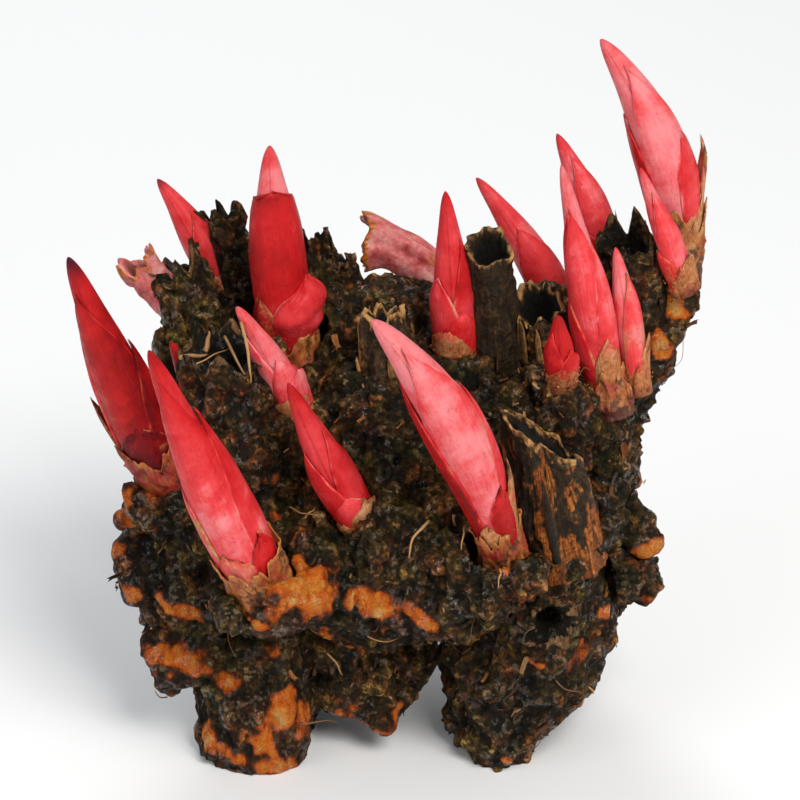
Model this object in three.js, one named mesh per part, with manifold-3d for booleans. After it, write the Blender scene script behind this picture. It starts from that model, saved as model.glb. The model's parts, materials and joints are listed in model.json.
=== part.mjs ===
// Root of a herbaceous peony, dug up and trimmed for planting: a knobbly woody crown, thick
// storage roots cut short, hollow stubs of last year's stems, and the red winter buds of next
// year's shoots, each wrapped in overlapping scales and some in a dry torn husk.
//
// Millimetres, +Z up. The side that shows best faces -Y. It stands on four cut roots, and the
// origin is the middle of its base: z = 0 is the surface that the cut roots stand on.

import * as THREE from "three";
import { mergeVertices } from "three/addons/utils/BufferGeometryUtils.js";
import Module from "manifold-3d";

const wasm = await Module();
wasm.setup();

// Driving dimensions, in millimetres.
const BASE_SHIFT = [-1.22, -0.14, 0]; // moves the middle of the base to the origin
const SEAM = 0.35; // clear gap where one piece is set into another
const ROOM_SIDES = 10; // sides of the plain solids that make room for a piece
const ROOM_ROUND = 1 / Math.cos(Math.PI / ROOM_SIDES); // so that their flats clear the piece

const BUD_RINGS = 5; // rings along a large bud
const BUD_SIDES = 10; // sides round a large bud
const SCALE_SIDES = 6; // corners of a scale's section
const SCALE_FOOT = 0.02; // share of the bud's length below its scales
const SCALE_STEP = 0.35; // height of a bud scale's edge above what it lies on
const SCALE_LAYER = 0.4; // how much further out each next scale of a bud lies
const SCALE_CROWN = 0.45; // how much thicker a scale is along its middle
const SCALE_SINK = 0.9; // how deep a scale's inner side lies in the bud
const SCALE_LIFT = 0.5; // how far the tip of a scale stands off the bud
const SCALE_CLOSE = 2.6; // power by which a scale stays wide and then closes to its point
const SCALE_THIN = 6; // power by which it keeps its thickness nearly to the tip
const RING_SPREAD = 0.85; // power that sets the rings closer together towards the point
const HUSK_WALL = 0.75; // dry papery husk round the foot of a bud
const HUSK_CREASE = 0.35; // how far a husk's wall wrinkles in and out

const STEM_WALL = 1.2; // woody wall of a hollow old stem
const STEM_RIBS = 0.12; // share of its radius that a stem's wall ripples
const ROOT_LUMPS = 0.15; // share of its radius that a root swells and thins
const ROOT_FOLDS = 0.06; // share of its radius that a root's long folds stand out

const CROWN_CENTRE = [0, 0, 48]; // the knobs of the crown reach out from here
const CROWN_DETAIL = 9; // how finely the crown's surface is divided
const BARK_SWAY = 1.1; // how far the crown's surface wanders in and out
const BARK_GRAIN = 4.5; // size of the lumps that the surface wanders by
const WARTS_PER_KNOB = 5; // small knobs that grow from each large one

const COLOURS = {
  crown: { color: 0x2a2419, roughness: 0.85 },
  root: { color: 0x6e4222, roughness: 0.6 },
  stem: { color: 0x4a3d28, roughness: 0.8 },
  husk: { color: 0xa8713f, roughness: 0.6 },
  bud: { color: 0xd9303a, roughness: 0.4 },
  fleshy: { color: 0xc25a5c, roughness: 0.5 },
};

// Solids and geometry

function solidOf(geometry) {
  const bare = geometry.clone();
  bare.deleteAttribute("normal");
  bare.deleteAttribute("uv");
  const merged = mergeVertices(bare, 1e-4);
  const solid = new wasm.Manifold(
    new wasm.Mesh({
      numProp: 3,
      vertProperties: new Float32Array(merged.attributes.position.array),
      triVerts: new Uint32Array(merged.index.array),
    }),
  );
  if (solid.volume() <= 0) throw new Error("a solid is inside out");
  return solid;
}

function geometryOf(solid) {
  const { numProp, numVert, vertProperties, triVerts } = solid.getMesh();
  const position = new Float32Array(numVert * 3);
  for (let i = 0; i < numVert; i++) {
    position.set(vertProperties.subarray(i * numProp, i * numProp + 3), i * 3);
  }
  const geometry = new THREE.BufferGeometry();
  geometry.setAttribute("position", new THREE.BufferAttribute(position, 3));
  geometry.setIndex(new THREE.BufferAttribute(new Uint32Array(triVerts), 1));
  geometry.computeVertexNormals();
  return geometry;
}

function largestBody(solid) {
  const bodies = solid.decompose();
  return bodies.reduce((best, body) => (body.volume() > best.volume() ? body : best));
}

const clamp01 = (value) => Math.min(1, Math.max(0, value));
const smooth = (value) => THREE.MathUtils.smoothstep(value, 0, 1);
const radians = THREE.MathUtils.degToRad;

// A smooth wander between about -1 and 1 that depends only on the place and the seed.
function wander(x, y, z, seed) {
  const first = Math.sin(x * 1.9 + seed * 1.3) * Math.cos(y * 2.3 - seed * 0.7);
  const second = Math.sin(y * 3.1 + seed * 2.1) * Math.cos(z * 2.7 + seed);
  const third = Math.sin(z * 4.3 - seed * 1.7) * Math.cos(x * 3.7 + seed * 0.4);
  return (first + second + third) / 2;
}

// An axis that bends from base to tip. Angle 0 round it faces -Y, or up where the axis runs
// front to back, and angles grow towards +X on an upright axis. Past its ends it runs straight.
function bentAxis({ base, tip, bend = [0, 0, 0] }) {
  const start = new THREE.Vector3(...base);
  const end = new THREE.Vector3(...tip);
  const middle = start.clone().lerp(end, 0.5).add(new THREE.Vector3(...bend));
  const curve = new THREE.QuadraticBezierCurve3(start, middle, end);
  const length = curve.getLength();
  const runsBack = Math.abs(end.y - start.y) > 0.8 * start.distanceTo(end);
  const facing = runsBack ? new THREE.Vector3(0, 0, 1) : new THREE.Vector3(0, -1, 0);
  const at = (t, angle, radius) => {
    const along = clamp01(t);
    const tangent = curve.getTangent(along);
    const front = facing.clone().addScaledVector(tangent, -facing.dot(tangent)).normalize();
    const side = new THREE.Vector3().crossVectors(tangent, front);
    return curve
      .getPoint(along)
      .addScaledVector(tangent, (t - along) * length)
      .addScaledVector(front, Math.cos(angle) * radius)
      .addScaledVector(side, Math.sin(angle) * radius);
  };
  return { length, at };
}

// A lathe turned on a bent axis. The profile lists [t, radius] and starts and ends on the
// axis; shape(angle, t, radius, step) gives each vertex its own [t, radius].
function turned(axis, profile, sides, shape) {
  const points = profile.map(([, radius], step) => new THREE.Vector2(radius, step));
  const lathe = new THREE.LatheGeometry(points, sides);
  const position = lathe.attributes.position;
  for (let i = 0; i < position.count; i++) {
    const onAxis = Math.hypot(position.getX(i), position.getZ(i)) < 1e-6;
    const angle = onAxis ? 0 : Math.atan2(position.getX(i), position.getZ(i));
    const step = Math.round(position.getY(i));
    const [t, radius] = shape(angle, profile[step][0], profile[step][1], step);
    const place = axis.at(t, angle, onAxis ? 0 : radius);
    position.setXYZ(i, place.x, place.y, place.z);
  }
  return solidOf(lathe);
}

// Winter buds. A bud swells from its foot to its belly and narrows to a point.

function budRadius({ radius, belly = 0.38, foot = 0.75, point = 1.7 }, t) {
  if (t <= belly) {
    const rise = Math.sin((clamp01(t / belly) * Math.PI) / 2);
    return radius * (foot + (1 - foot) * rise);
  }
  return radius * (1 - Math.pow(clamp01((t - belly) / (1 - belly)), point));
}

function budCore(bud) {
  const { rings = BUD_RINGS, sides = BUD_SIDES } = bud;
  const profile = [[0, 0]];
  for (let i = 0; i < rings; i++) profile.push([Math.pow(i / rings, RING_SPREAD), 1]);
  profile.push([1, 0]);
  return turned(bentAxis(bud), profile, sides, (angle, t) => [t, budRadius(bud, t)]);
}

// How far a scale stands off the bud: next to nothing over most of its length, then more.
const standOff = ({ lift = SCALE_LIFT }, share) => lift * Math.pow(share, 4);

// One scale: a shell bent round the bud, widest near its foot and closing to a point. Its
// section is a lens whose outer side stands on the bud and whose inner side is sunk in it.
// Outer scales are shorter, so a bud lists its scales from the longest to the shortest.
function scaleSolid(bud, scale, layer) {
  const { facing, reach, halfWidth } = scale;
  const axis = bentAxis(bud);
  const shell = new THREE.CylinderGeometry(1, 1, 1, SCALE_SIDES, (bud.rings ?? BUD_RINGS) - 1);
  const position = shell.attributes.position;
  for (let i = 0; i < position.count; i++) {
    const inCap = Math.hypot(position.getX(i), position.getZ(i)) < 1e-6;
    const across = inCap ? 0 : position.getX(i);
    const out = inCap ? 0 : position.getZ(i);
    const share = Math.pow(position.getY(i) + 0.5, RING_SPREAD);
    const close = 1 - Math.pow(share, SCALE_CLOSE);
    const lens = out > 0 ? SCALE_CROWN * out : (SCALE_SINK + layer * SCALE_LAYER) * out;
    const thick = (SCALE_STEP + layer * SCALE_LAYER + lens) * (1 - Math.pow(share, SCALE_THIN));
    const t = SCALE_FOOT + (reach - SCALE_FOOT) * share;
    const radius = budRadius(bud, t) + thick + standOff(scale, share);
    const place = axis.at(t, radians(facing + halfWidth * close * across), radius);
    position.setXYZ(i, place.x, place.y, place.z);
  }
  return solidOf(shell);
}

function budSolid(bud) {
  return wasm.Manifold.union([
    budCore(bud),
    ...bud.scales.map((scale, layer) => scaleSolid(bud, scale, layer)),
  ]);
}

// The widest that a bud and its scales reach round the axis at t.
function budReach(bud, t) {
  const over = bud.scales.map((scale, layer) => {
    const share = clamp01(t / scale.reach);
    const stands = SCALE_STEP + layer * SCALE_LAYER + SCALE_CROWN + standOff(scale, share);
    return t > scale.reach + 0.04 ? 0 : stands;
  });
  return budRadius(bud, t) + Math.max(0, ...over);
}

// The room that a bud needs: a plain solid that holds the whole bud and a seam round it.
function budRoom(bud) {
  const axis = bentAxis(bud);
  const end = (2 * SEAM) / axis.length;
  const steps = [-end / 2, 0.2, 0.45, 0.7, 0.9];
  const profile = [[-end / 2, 0], ...steps.map((t) => [t, 1]), [1 + end, 0]];
  return turned(axis, profile, ROOM_SIDES, (angle, t) => [
    t,
    (budReach(bud, t) + SEAM) * ROOM_ROUND,
  ]);
}

// A dry husk: a torn cup round the foot of a bud. The bud's room hollows it out later.
function huskSolid({ bud, from, rim, tear, seed }, grow = 0) {
  const axis = bentAxis(bud);
  const profile = [[0, 0], [0, 1], [0.5, 1], [1, 1], [1, 0]];
  return turned(axis, profile, ROOM_SIDES, (angle, share, mark, step) => {
    const x = Math.cos(angle);
    const y = Math.sin(angle);
    const top = rim + tear * (grow ? 1 : wander(x * 1.6, y * 1.6, seed, seed));
    const side = step <= 1 ? -1 : step >= profile.length - 2 ? 1 : 0;
    const t = from + (top - from) * share + (side * grow) / axis.length;
    const crease = HUSK_CREASE * (grow ? 1 : clamp01(wander(x * 2, y * 2, share * 2, seed + 3)));
    const radius = (budReach(bud, t) + SEAM) * ROOM_ROUND + HUSK_WALL + crease;
    return [t, grow ? (radius + grow) * ROOM_ROUND : radius];
  });
}

// Hollow stubs of old stems, torn off or cut on a slant at the top, with a ribbed wall.
function stemSolid(stem, grow = 0) {
  const { radius, foot = radius * 1.2, hollow = 0.5, tear = 0.1, seed, sides = 10 } = stem;
  const { slant = 0, slantTo = 0, thickness = STEM_WALL } = stem;
  const axis = bentAxis(stem);
  const bore = radius - thickness;
  const wall = [0, 0.55, 1].map((t) => [t, THREE.MathUtils.lerp(foot, radius, smooth(t))]);
  const inside = [[1, bore], [hollow, bore * 0.7], [hollow, 0]];
  const profile = [[0, 0], ...wall, ...(grow ? [[1, 0]] : inside)];
  if (grow) {
    const end = grow / axis.length;
    return turned(axis, profile, ROOM_SIDES, (angle, t, spread) => [
      t > 0.5 ? t + tear + slant + end : t - end,
      (spread * (1 + STEM_RIBS) + grow) * ROOM_ROUND,
    ]);
  }
  return turned(axis, profile, sides, (angle, t, spread, step) => {
    const onWall = step >= 1 && step <= wall.length;
    const torn = tear * wander(Math.cos(angle) * 2.6, Math.sin(angle) * 2.6, seed, seed);
    const rise = (torn + slant * Math.cos(angle - slantTo)) * smooth((t - 0.55) / 0.45);
    const ribs = (Math.sin(4 * angle + seed) + 0.6 * Math.sin(7 * angle - seed)) / 1.6;
    return [spread > 0 ? t + rise : t, spread * (onWall ? 1 + STEM_RIBS * ribs : 1)];
  });
}

// Storage roots, cut short: plump and lumpy, with a blunt cut end.
function rootSolid(root, grow = 0) {
  const { radius, end = radius * 0.7, seed, sides = 10, plump = 2 } = root;
  const axis = bentAxis(root);
  const steps = [0, 0.3, 0.6, 0.86, 0.97];
  const wide = (t) => end + (radius - end) * (1 - Math.pow(t, plump));
  const profile = [[0, 0], ...steps.map((t) => [t, wide(t)]), [1, end * 0.72], [1, 0]];
  return turned(axis, profile, sides, (angle, t, spread, step) => {
    const lumps = ROOT_LUMPS * wander(Math.cos(angle) * 1.3, Math.sin(angle) * 1.3, t * 2.6, seed);
    const folds = ROOT_FOLDS * Math.sin(5 * angle + 7 * t + seed);
    const side = step <= 1 ? -1 : step >= profile.length - 2 ? 1 : 0;
    return [t + (side * grow) / axis.length, spread * (1 + lumps + folds) + grow];
  });
}

// The woody crown: knobs and short trunks grown into one another, with small warts.

// Warts sit at seeded places on a knob, half sunk in it.
function wartsOf({ at, radii, seed }) {
  return Array.from({ length: WARTS_PER_KNOB }, (_, n) => {
    const turn = 2.4 * n + seed * 1.7;
    const height = -0.5 + (1.2 * (n + 0.5)) / WARTS_PER_KNOB;
    const flat = Math.sqrt(1 - height * height);
    const out = [Math.sin(turn) * flat, -Math.cos(turn) * flat, height];
    const size = 3 + 1.6 * Math.abs(Math.sin(seed * 3 + n * 2));
    return { at: at.map((value, i) => value + out[i] * radii[i] * 0.9), radii: [size, size, size] };
  });
}

// How far a ray from the crown's centre runs before it leaves a knob for good.
function leaves({ at, radii }, direction) {
  const from = new THREE.Vector3(...CROWN_CENTRE).sub(new THREE.Vector3(...at));
  const size = new THREE.Vector3(...radii);
  from.divide(size);
  const step = direction.clone().divide(size);
  const across = from.dot(step);
  const spread = across * across - step.lengthSq() * (from.lengthSq() - 1);
  return spread < 0 ? 0 : (Math.sqrt(spread) - across) / step.lengthSq();
}

const KNOBS = [
  // the body of the crown
  { at: [0, 4, 42], radii: [36, 25, 22], seed: 1 },
  { at: [-29, -2, 39], radii: [18, 19, 19], seed: 2 },
  { at: [25, 0, 47], radii: [18, 20, 19], seed: 3 },
  { at: [2, -16, 42], radii: [23, 16, 17], seed: 4 },
  { at: [-5, -7, 17], radii: [13, 11, 13], seed: 14 },
  { at: [33, 2, 30], radii: [14, 13, 13], seed: 15 },
  { at: [-36, -8, 30], radii: [10, 10, 10], seed: 16 },
  // the top, where the buds and old stems stand
  { at: [-14, 13, 64], radii: [16, 14, 20], seed: 5 },
  { at: [1, -6, 62], radii: [13, 14, 16], seed: 6 },
  { at: [2, 14, 70], radii: [15, 12, 14], seed: 17 },
  { at: [14, 3, 67], radii: [10, 11, 11], seed: 7 },
  { at: [28, 13, 69], radii: [14, 11, 13], seed: 8 },
  { at: [30, -9, 66], radii: [9, 9, 11], seed: 18 },
  // knobs that carry a bud each
  { at: [-19.5, -31, 42.5], radii: [10.5, 9, 8.5], seed: 9 },
  { at: [-39.5, -8, 50], radii: [7, 8, 8.5], seed: 10 },
  { at: [18.5, -28, 46], radii: [8.5, 8.5, 8.5], seed: 11 },
  { at: [-3, -21, 50], radii: [9, 8, 9], seed: 12 },
  { at: [31, -19, 49], radii: [9, 8.5, 10], seed: 13 },
];

const TRUNKS = [
  { base: [-25, -8, 44], tip: [-27, -8, 74], radius: 11.5, end: 9.5, seed: 21, sides: 13 },
  { base: [-33, 6, 50], tip: [-36, 9, 80], radius: 9.5, end: 6.5, seed: 22 },
  { base: [-26, 14, 55], tip: [-28, 19, 81], radius: 9, end: 6.5, seed: 27 },
  { base: [37, -5, 46], tip: [40, -5, 67], radius: 8.5, end: 6, seed: 23 },
  { base: [35, 2, 50], tip: [52.5, 9, 88], bend: [-1, 0, 0], radius: 8.5, end: 6.5, seed: 24 },
];

const STEMS = {
  old_stem_centre: {
    base: [20, 4, 72], tip: [18.5, -1, 97.5], radius: 4.4, foot: 5.2, hollow: 0.6, tear: 0.03, seed: 2,
  },
  old_stem_right: {
    base: [46, 6, 80], tip: [43.5, 3, 97.5], radius: 5, hollow: 0.4, tear: 0.17, seed: 5,
  },
  old_stem_slant: {
    base: [31, -20, 48], tip: [27, -25, 71], radius: 6.4, foot: 7.6, hollow: 0.7, tear: 0.03, seed: 3,
    slant: 0.27, slantTo: radians(-80), sides: 12,
  },
  old_stem_left: {
    base: [-27, -8, 68], tip: [-29, -9, 81], radius: 8.2, foot: 9, hollow: 0.35, tear: 0.1, seed: 7,
    sides: 12, thickness: 2.2,
  },
  old_stem_back_left: {
    base: [-27, 20, 76], tip: [-32, 22, 94], radius: 3.5, foot: 4.8, hollow: 0.7, tear: 0.12, seed: 8,
  },
  old_stem_far_left: {
    base: [-35, 9, 74], tip: [-39, 12, 89], radius: 4.8, foot: 6.2, hollow: 0.3, tear: 0.22, seed: 11,
  },
  old_stem_back: {
    base: [-13, 18, 74], tip: [-14.5, 19, 91], radius: 3.2, foot: 4.4, hollow: 0.75, tear: 0.14, seed: 4,
    sides: 9,
  },
  old_stem_thin: {
    base: [-6, 18, 74], tip: [-8.5, 19, 87], radius: 2.4, foot: 3.4, hollow: 0.8, tear: 0.1, seed: 6,
    sides: 9,
  },
  old_stem_middle: {
    base: [1, -6, 70], tip: [-1, -7, 86.5], radius: 3.9, foot: 5.4, hollow: 0.6, tear: 0.12, seed: 9,
  },
  old_stem_notch: {
    base: [29, 5, 74], tip: [27.5, 2, 84.5], radius: 4.2, foot: 5, hollow: 0.4, tear: 0.16, seed: 14,
  },
  old_stem_front: {
    base: [28, -27, 38], tip: [29, -36, 39], radius: 3.6, foot: 4.4, hollow: 0.35, tear: 0.12, seed: 12,
  },
};

const ROOTS = {
  root_front_right: {
    base: [27, -8, 38], tip: [19.5, -13, -2], bend: [4.5, -3, 3], radius: 15.5, end: 7.8, seed: 31, sides: 15,
    plump: 3,
  },
  root_front_left: {
    base: [-23, -6, 25], tip: [-25.2, -14.5, -2], bend: [0, -3, 3], radius: 13, end: 10.2, seed: 32,
    sides: 14, plump: 3,
  },
  root_left_middle: {
    base: [-24, -11, 24], tip: [-44, -15, 18.8], bend: [0, -2, 1], radius: 7, end: 6, seed: 33, plump: 3,
  },
  root_left_upper: {
    base: [-34, -7, 38], tip: [-50.2, -8, 34.5], radius: 7.4, end: 5.7, seed: 34, plump: 3,
  },
  root_centre_small: {
    base: [3, -8, 15], tip: [-3, -17, 6.8], radius: 5, end: 4, seed: 35,
  },
  root_right_flake: {
    base: [33, -9, 36], tip: [50, -5, 31], radius: 6.5, end: 4.5, seed: 36,
  },
  root_right_thin: {
    base: [38.5, -4, 55], tip: [48.5, -7, 38], radius: 3.8, end: 3.1, seed: 37,
  },
  root_stub_left: {
    base: [-42, -9, 49], tip: [-50, -10, 45.5], radius: 2, end: 1.5, seed: 41, sides: 8,
  },
  root_back_left: {
    base: [-18, 12, 28], tip: [-25, 23, -2], bend: [0, 3, 3], radius: 10.5, end: 7.5, seed: 38,
    plump: 3,
  },
  root_back_right: {
    base: [22, 12, 28], tip: [27, 24, -2], bend: [2, 4, 3], radius: 10.5, end: 7.5, seed: 39,
    plump: 3,
  },
  root_back: {
    base: [2, 20, 44], tip: [-3, 41, 33], bend: [0, 0, 2], radius: 9, end: 6.5, seed: 40,
  },
};

const BUDS = {
  bud_left_outer: {
    base: [-41, -8, 54], tip: [-56.5, -14, 100.5], bend: [-0.2, 0, 0], radius: 4.5, foot: 0.6,
    belly: 0.28, point: 2,
    scales: [
      { facing: -40, reach: 0.84, halfWidth: 105 },
      { facing: 70, reach: 0.56, halfWidth: 62, lift: 0.8 },
      { facing: 0, reach: 0.3, halfWidth: 90 },
    ],
  },
  bud_left_front: {
    base: [-22, -32, 44], tip: [-40.5, -42, 95], bend: [-0.6, 0, -0.6], radius: 4.7, foot: 0.7,
    belly: 0.3,
    scales: [
      { facing: -25, reach: 0.88, halfWidth: 90 },
      { facing: 60, reach: 0.7, halfWidth: 75, lift: 0.9 },
      { facing: -80, reach: 0.34, halfWidth: 65, lift: 0.6 },
    ],
  },
  bud_back_tall: {
    base: [-17.5, 8, 66], tip: [-21.3, 6, 114], bend: [-1.2, 0, 0], radius: 4.6, belly: 0.5, point: 2,
    foot: 0.72,
    scales: [
      { facing: 0, reach: 0.83, halfWidth: 150, lift: 0.3 },
      { facing: 55, reach: 0.43, halfWidth: 80, lift: 1.6 },
      { facing: -70, reach: 0.34, halfWidth: 70 },
    ],
  },
  bud_left_back: {
    base: [-31, 20, 80], tip: [-43.2, 24, 100.5], bend: [1.2, 0, 0.8], radius: 3.4, belly: 0.35,
    scales: [{ facing: 50, reach: 0.66, halfWidth: 80 }, { facing: -60, reach: 0.25, halfWidth: 80 }],
    rings: 4, sides: 8,
  },
  bud_left_small: {
    base: [-16.5, -10, 69], tip: [-27, -12, 90], bend: [0.8, 0, 0.8], radius: 2.8, belly: 0.3,
    scales: [{ facing: 30, reach: 0.5, halfWidth: 80 }, { facing: -60, reach: 0.8, halfWidth: 70 }],
    rings: 4, sides: 8,
  },
  bud_centre_left: {
    base: [-4, -22, 51], tip: [-17.5, -26, 81.5], bend: [-0.8, 0, -0.8], radius: 3.8, belly: 0.32,
    scales: [
      { facing: -50, reach: 0.6, halfWidth: 62 },
      { facing: 55, reach: 0.68, halfWidth: 66 },
      { facing: 5, reach: 0.28, halfWidth: 75 },
    ],
    rings: 4, sides: 8,
  },
  bud_centre_front: {
    base: [20.5, -29, 50], tip: [-2.5, -44, 101.5], bend: [4, 0, 3.6], radius: 4.8, foot: 0.65,
    belly: 0.36,
    scales: [
      { facing: 25, reach: 0.87, halfWidth: 100 },
      { facing: 100, reach: 0.62, halfWidth: 60, lift: 0.8 },
    ],
  },
  bud_centre_upright: {
    base: [12.5, 2, 75], tip: [10.4, 0, 107.5], bend: [0.4, 0, 0], radius: 3.5, foot: 0.85, belly: 0.36,
    scales: [
      { facing: -45, reach: 0.5, halfWidth: 70 },
      { facing: 55, reach: 0.72, halfWidth: 62 },
      { facing: 25, reach: 0.3, halfWidth: 75 },
    ],
    rings: 4, sides: 8,
  },
  bud_behind: {
    base: [33.5, 22, 73], tip: [16.5, 26, 100], bend: [1.4, 0, 1.6], radius: 3.6, foot: 0.9, belly: 0.3,
    scales: [{ facing: 20, reach: 0.62, halfWidth: 90 }, { facing: -60, reach: 0.3, halfWidth: 80 }],
    rings: 4, sides: 8,
  },
  bud_right_back: {
    base: [41.5, 16, 86], tip: [31, 16, 112.5], bend: [0.8, 0, 0.6], radius: 3.2, belly: 0.4,
    scales: [{ facing: 30, reach: 0.84, halfWidth: 85 }, { facing: -60, reach: 0.4, halfWidth: 70 }],
    rings: 4, sides: 8,
  },
  bud_right_tall: {
    base: [40, -4, 70], tip: [31, -2, 113.5], bend: [0.6, 0, -0.6], radius: 3.2, foot: 0.6, belly: 0.36,
    scales: [
      { facing: -15, reach: 0.8, halfWidth: 85 },
      { facing: 60, reach: 0.66, halfWidth: 60 },
      { facing: -75, reach: 0.45, halfWidth: 60 },
    ],
  },
  bud_right_companion: {
    base: [45.5, -4, 71], tip: [41.2, -1, 97], bend: [0.4, 0, 0], radius: 2.2, foot: 0.8, belly: 0.5,
    point: 2.2, scales: [{ facing: 40, reach: 0.8, halfWidth: 80 }], rings: 4, sides: 8,
  },
  bud_top_right: {
    base: [53.2, 11, 89], tip: [38, 8, 133.5], bend: [8, 0, 1.2], radius: 4.4, foot: 0.48, belly: 0.45,
    point: 2.2,
    scales: [
      { facing: 25, reach: 0.86, halfWidth: 95 },
      { facing: 75, reach: 0.5, halfWidth: 50, lift: 0.9 },
      { facing: -75, reach: 0.8, halfWidth: 60 },
    ],
  },
  bud_right_slim: {
    base: [54, 1, 89], tip: [45.3, 0, 112], radius: 2.2, belly: 0.4, rings: 4, sides: 8,
    scales: [{ facing: 20, reach: 0.8, halfWidth: 80 }, { facing: -60, reach: 0.35, halfWidth: 70 }],
  },
  bud_small_round: {
    base: [31.5, -13, 76], tip: [30.3, -16, 90], radius: 2.5, belly: 0.4, foot: 0.6, point: 2,
    rings: 4, sides: 8,
    scales: [{ facing: -45, reach: 0.8, halfWidth: 60 }, { facing: 45, reach: 0.55, halfWidth: 70 }],
  },
  bud_left_tiny: {
    base: [-34, -1, 66], tip: [-39.5, -5, 80], radius: 2.3, belly: 0.35, rings: 4, sides: 8,
    scales: [{ facing: 0, reach: 0.7, halfWidth: 80 }],
  },
};

// Shoots that broke or were cut off: a fleshy stub with a ragged rim.
const BROKEN_SHOOTS = {
  broken_shoot_left: {
    base: [-37.5, 12, 77], tip: [-47, 12, 89], radius: 3.4, foot: 3.6, hollow: 0.7, tear: 0.12,
    seed: 15,
  },
  broken_shoot_back: {
    base: [13, 24, 80], tip: [-4.5, 27, 86.6], bend: [0, 0, 1], radius: 4, foot: 4.4, hollow: 0.85,
    tear: 0.07, seed: 17, sides: 11,
  },
};

const HUSKS = {
  husk_left_front: { bud: BUDS.bud_left_front, from: -0.05, rim: 0.15, tear: 0.07, seed: 2 },
  husk_left_outer: { bud: BUDS.bud_left_outer, from: -0.05, rim: 0.15, tear: 0.07, seed: 5 },
  husk_centre_front: { bud: BUDS.bud_centre_front, from: -0.05, rim: 0.15, tear: 0.07, seed: 3 },
  husk_back_tall: { bud: BUDS.bud_back_tall, from: -0.04, rim: 0.24, tear: 0.05, seed: 4 },
  husk_right_tall: { bud: BUDS.bud_right_tall, from: -0.1, rim: 0.08, tear: 0.05, seed: 6 },
  husk_top_right: { bud: BUDS.bud_top_right, from: -0.04, rim: 0.17, tear: 0.1, seed: 7 },
};

// Pieces in order of rank: where two would share space, the later one makes room.

const pieces = [];

function addPieces(table, look, build, room = (spec) => build(spec, SEAM)) {
  for (const [name, spec] of Object.entries(table)) {
    pieces.push({ name, look, solid: build(spec), room: room(spec) });
  }
}

// The body of the crown is a ball, each of whose vertices is pushed out to the last knob or
// wart in its direction and then swayed in or out.
function crownSolid() {
  const knobs = [...KNOBS, ...KNOBS.flatMap(wartsOf)];
  const centre = new THREE.Vector3(...CROWN_CENTRE);
  const ball = new THREE.IcosahedronGeometry(1, CROWN_DETAIL);
  const position = ball.attributes.position;
  for (let i = 0; i < position.count; i++) {
    const direction = new THREE.Vector3().fromBufferAttribute(position, i);
    const reach = Math.max(...knobs.map((knob) => leaves(knob, direction)));
    const { x, y, z } = direction.clone().multiplyScalar(reach / BARK_GRAIN);
    const place = direction.multiplyScalar(reach + BARK_SWAY * wander(x, y, z, 1)).add(centre);
    position.setXYZ(i, place.x, place.y, place.z);
  }
  return wasm.Manifold.union([solidOf(ball), ...TRUNKS.map((trunk) => rootSolid(trunk))]);
}

addPieces(BUDS, "bud", budSolid, budRoom);
addPieces(HUSKS, "husk", huskSolid);
addPieces(BROKEN_SHOOTS, "fleshy", stemSolid);
addPieces(STEMS, "stem", stemSolid);
addPieces(ROOTS, "root", rootSolid);
pieces.push({ name: "crown", look: "crown", solid: crownSolid() });

function meets(first, second) {
  const a = first.boundingBox();
  const b = second.boundingBox();
  return [0, 1, 2].every((i) => a.min[i] < b.max[i] && b.min[i] < a.max[i]);
}

const ground = solidOf(new THREE.BoxGeometry(400, 400, 100).translate(0, 0, -50));

const root = new THREE.Group();
root.position.set(...BASE_SHIFT);
pieces.forEach(({ name, look, solid }, rank) => {
  let body = meets(solid, ground) ? solid.subtract(ground) : solid;
  for (const { room } of pieces.slice(0, rank)) {
    if (meets(body, room)) body = body.subtract(room);
  }
  const material = new THREE.MeshStandardMaterial({ metalness: 0, ...COLOURS[look] });
  const mesh = new THREE.Mesh(geometryOf(largestBody(body)), material);
  mesh.name = name;
  root.add(mesh);
});

export default root;
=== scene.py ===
"""Dressed model of a trimmed peony root: knobbly crown, cut roots, old stems and winter buds."""

import json
import math
from dataclasses import dataclass

import bmesh
import bpy
import numpy as np
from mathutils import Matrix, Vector
from mathutils.bvhtree import BVHTree

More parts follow.
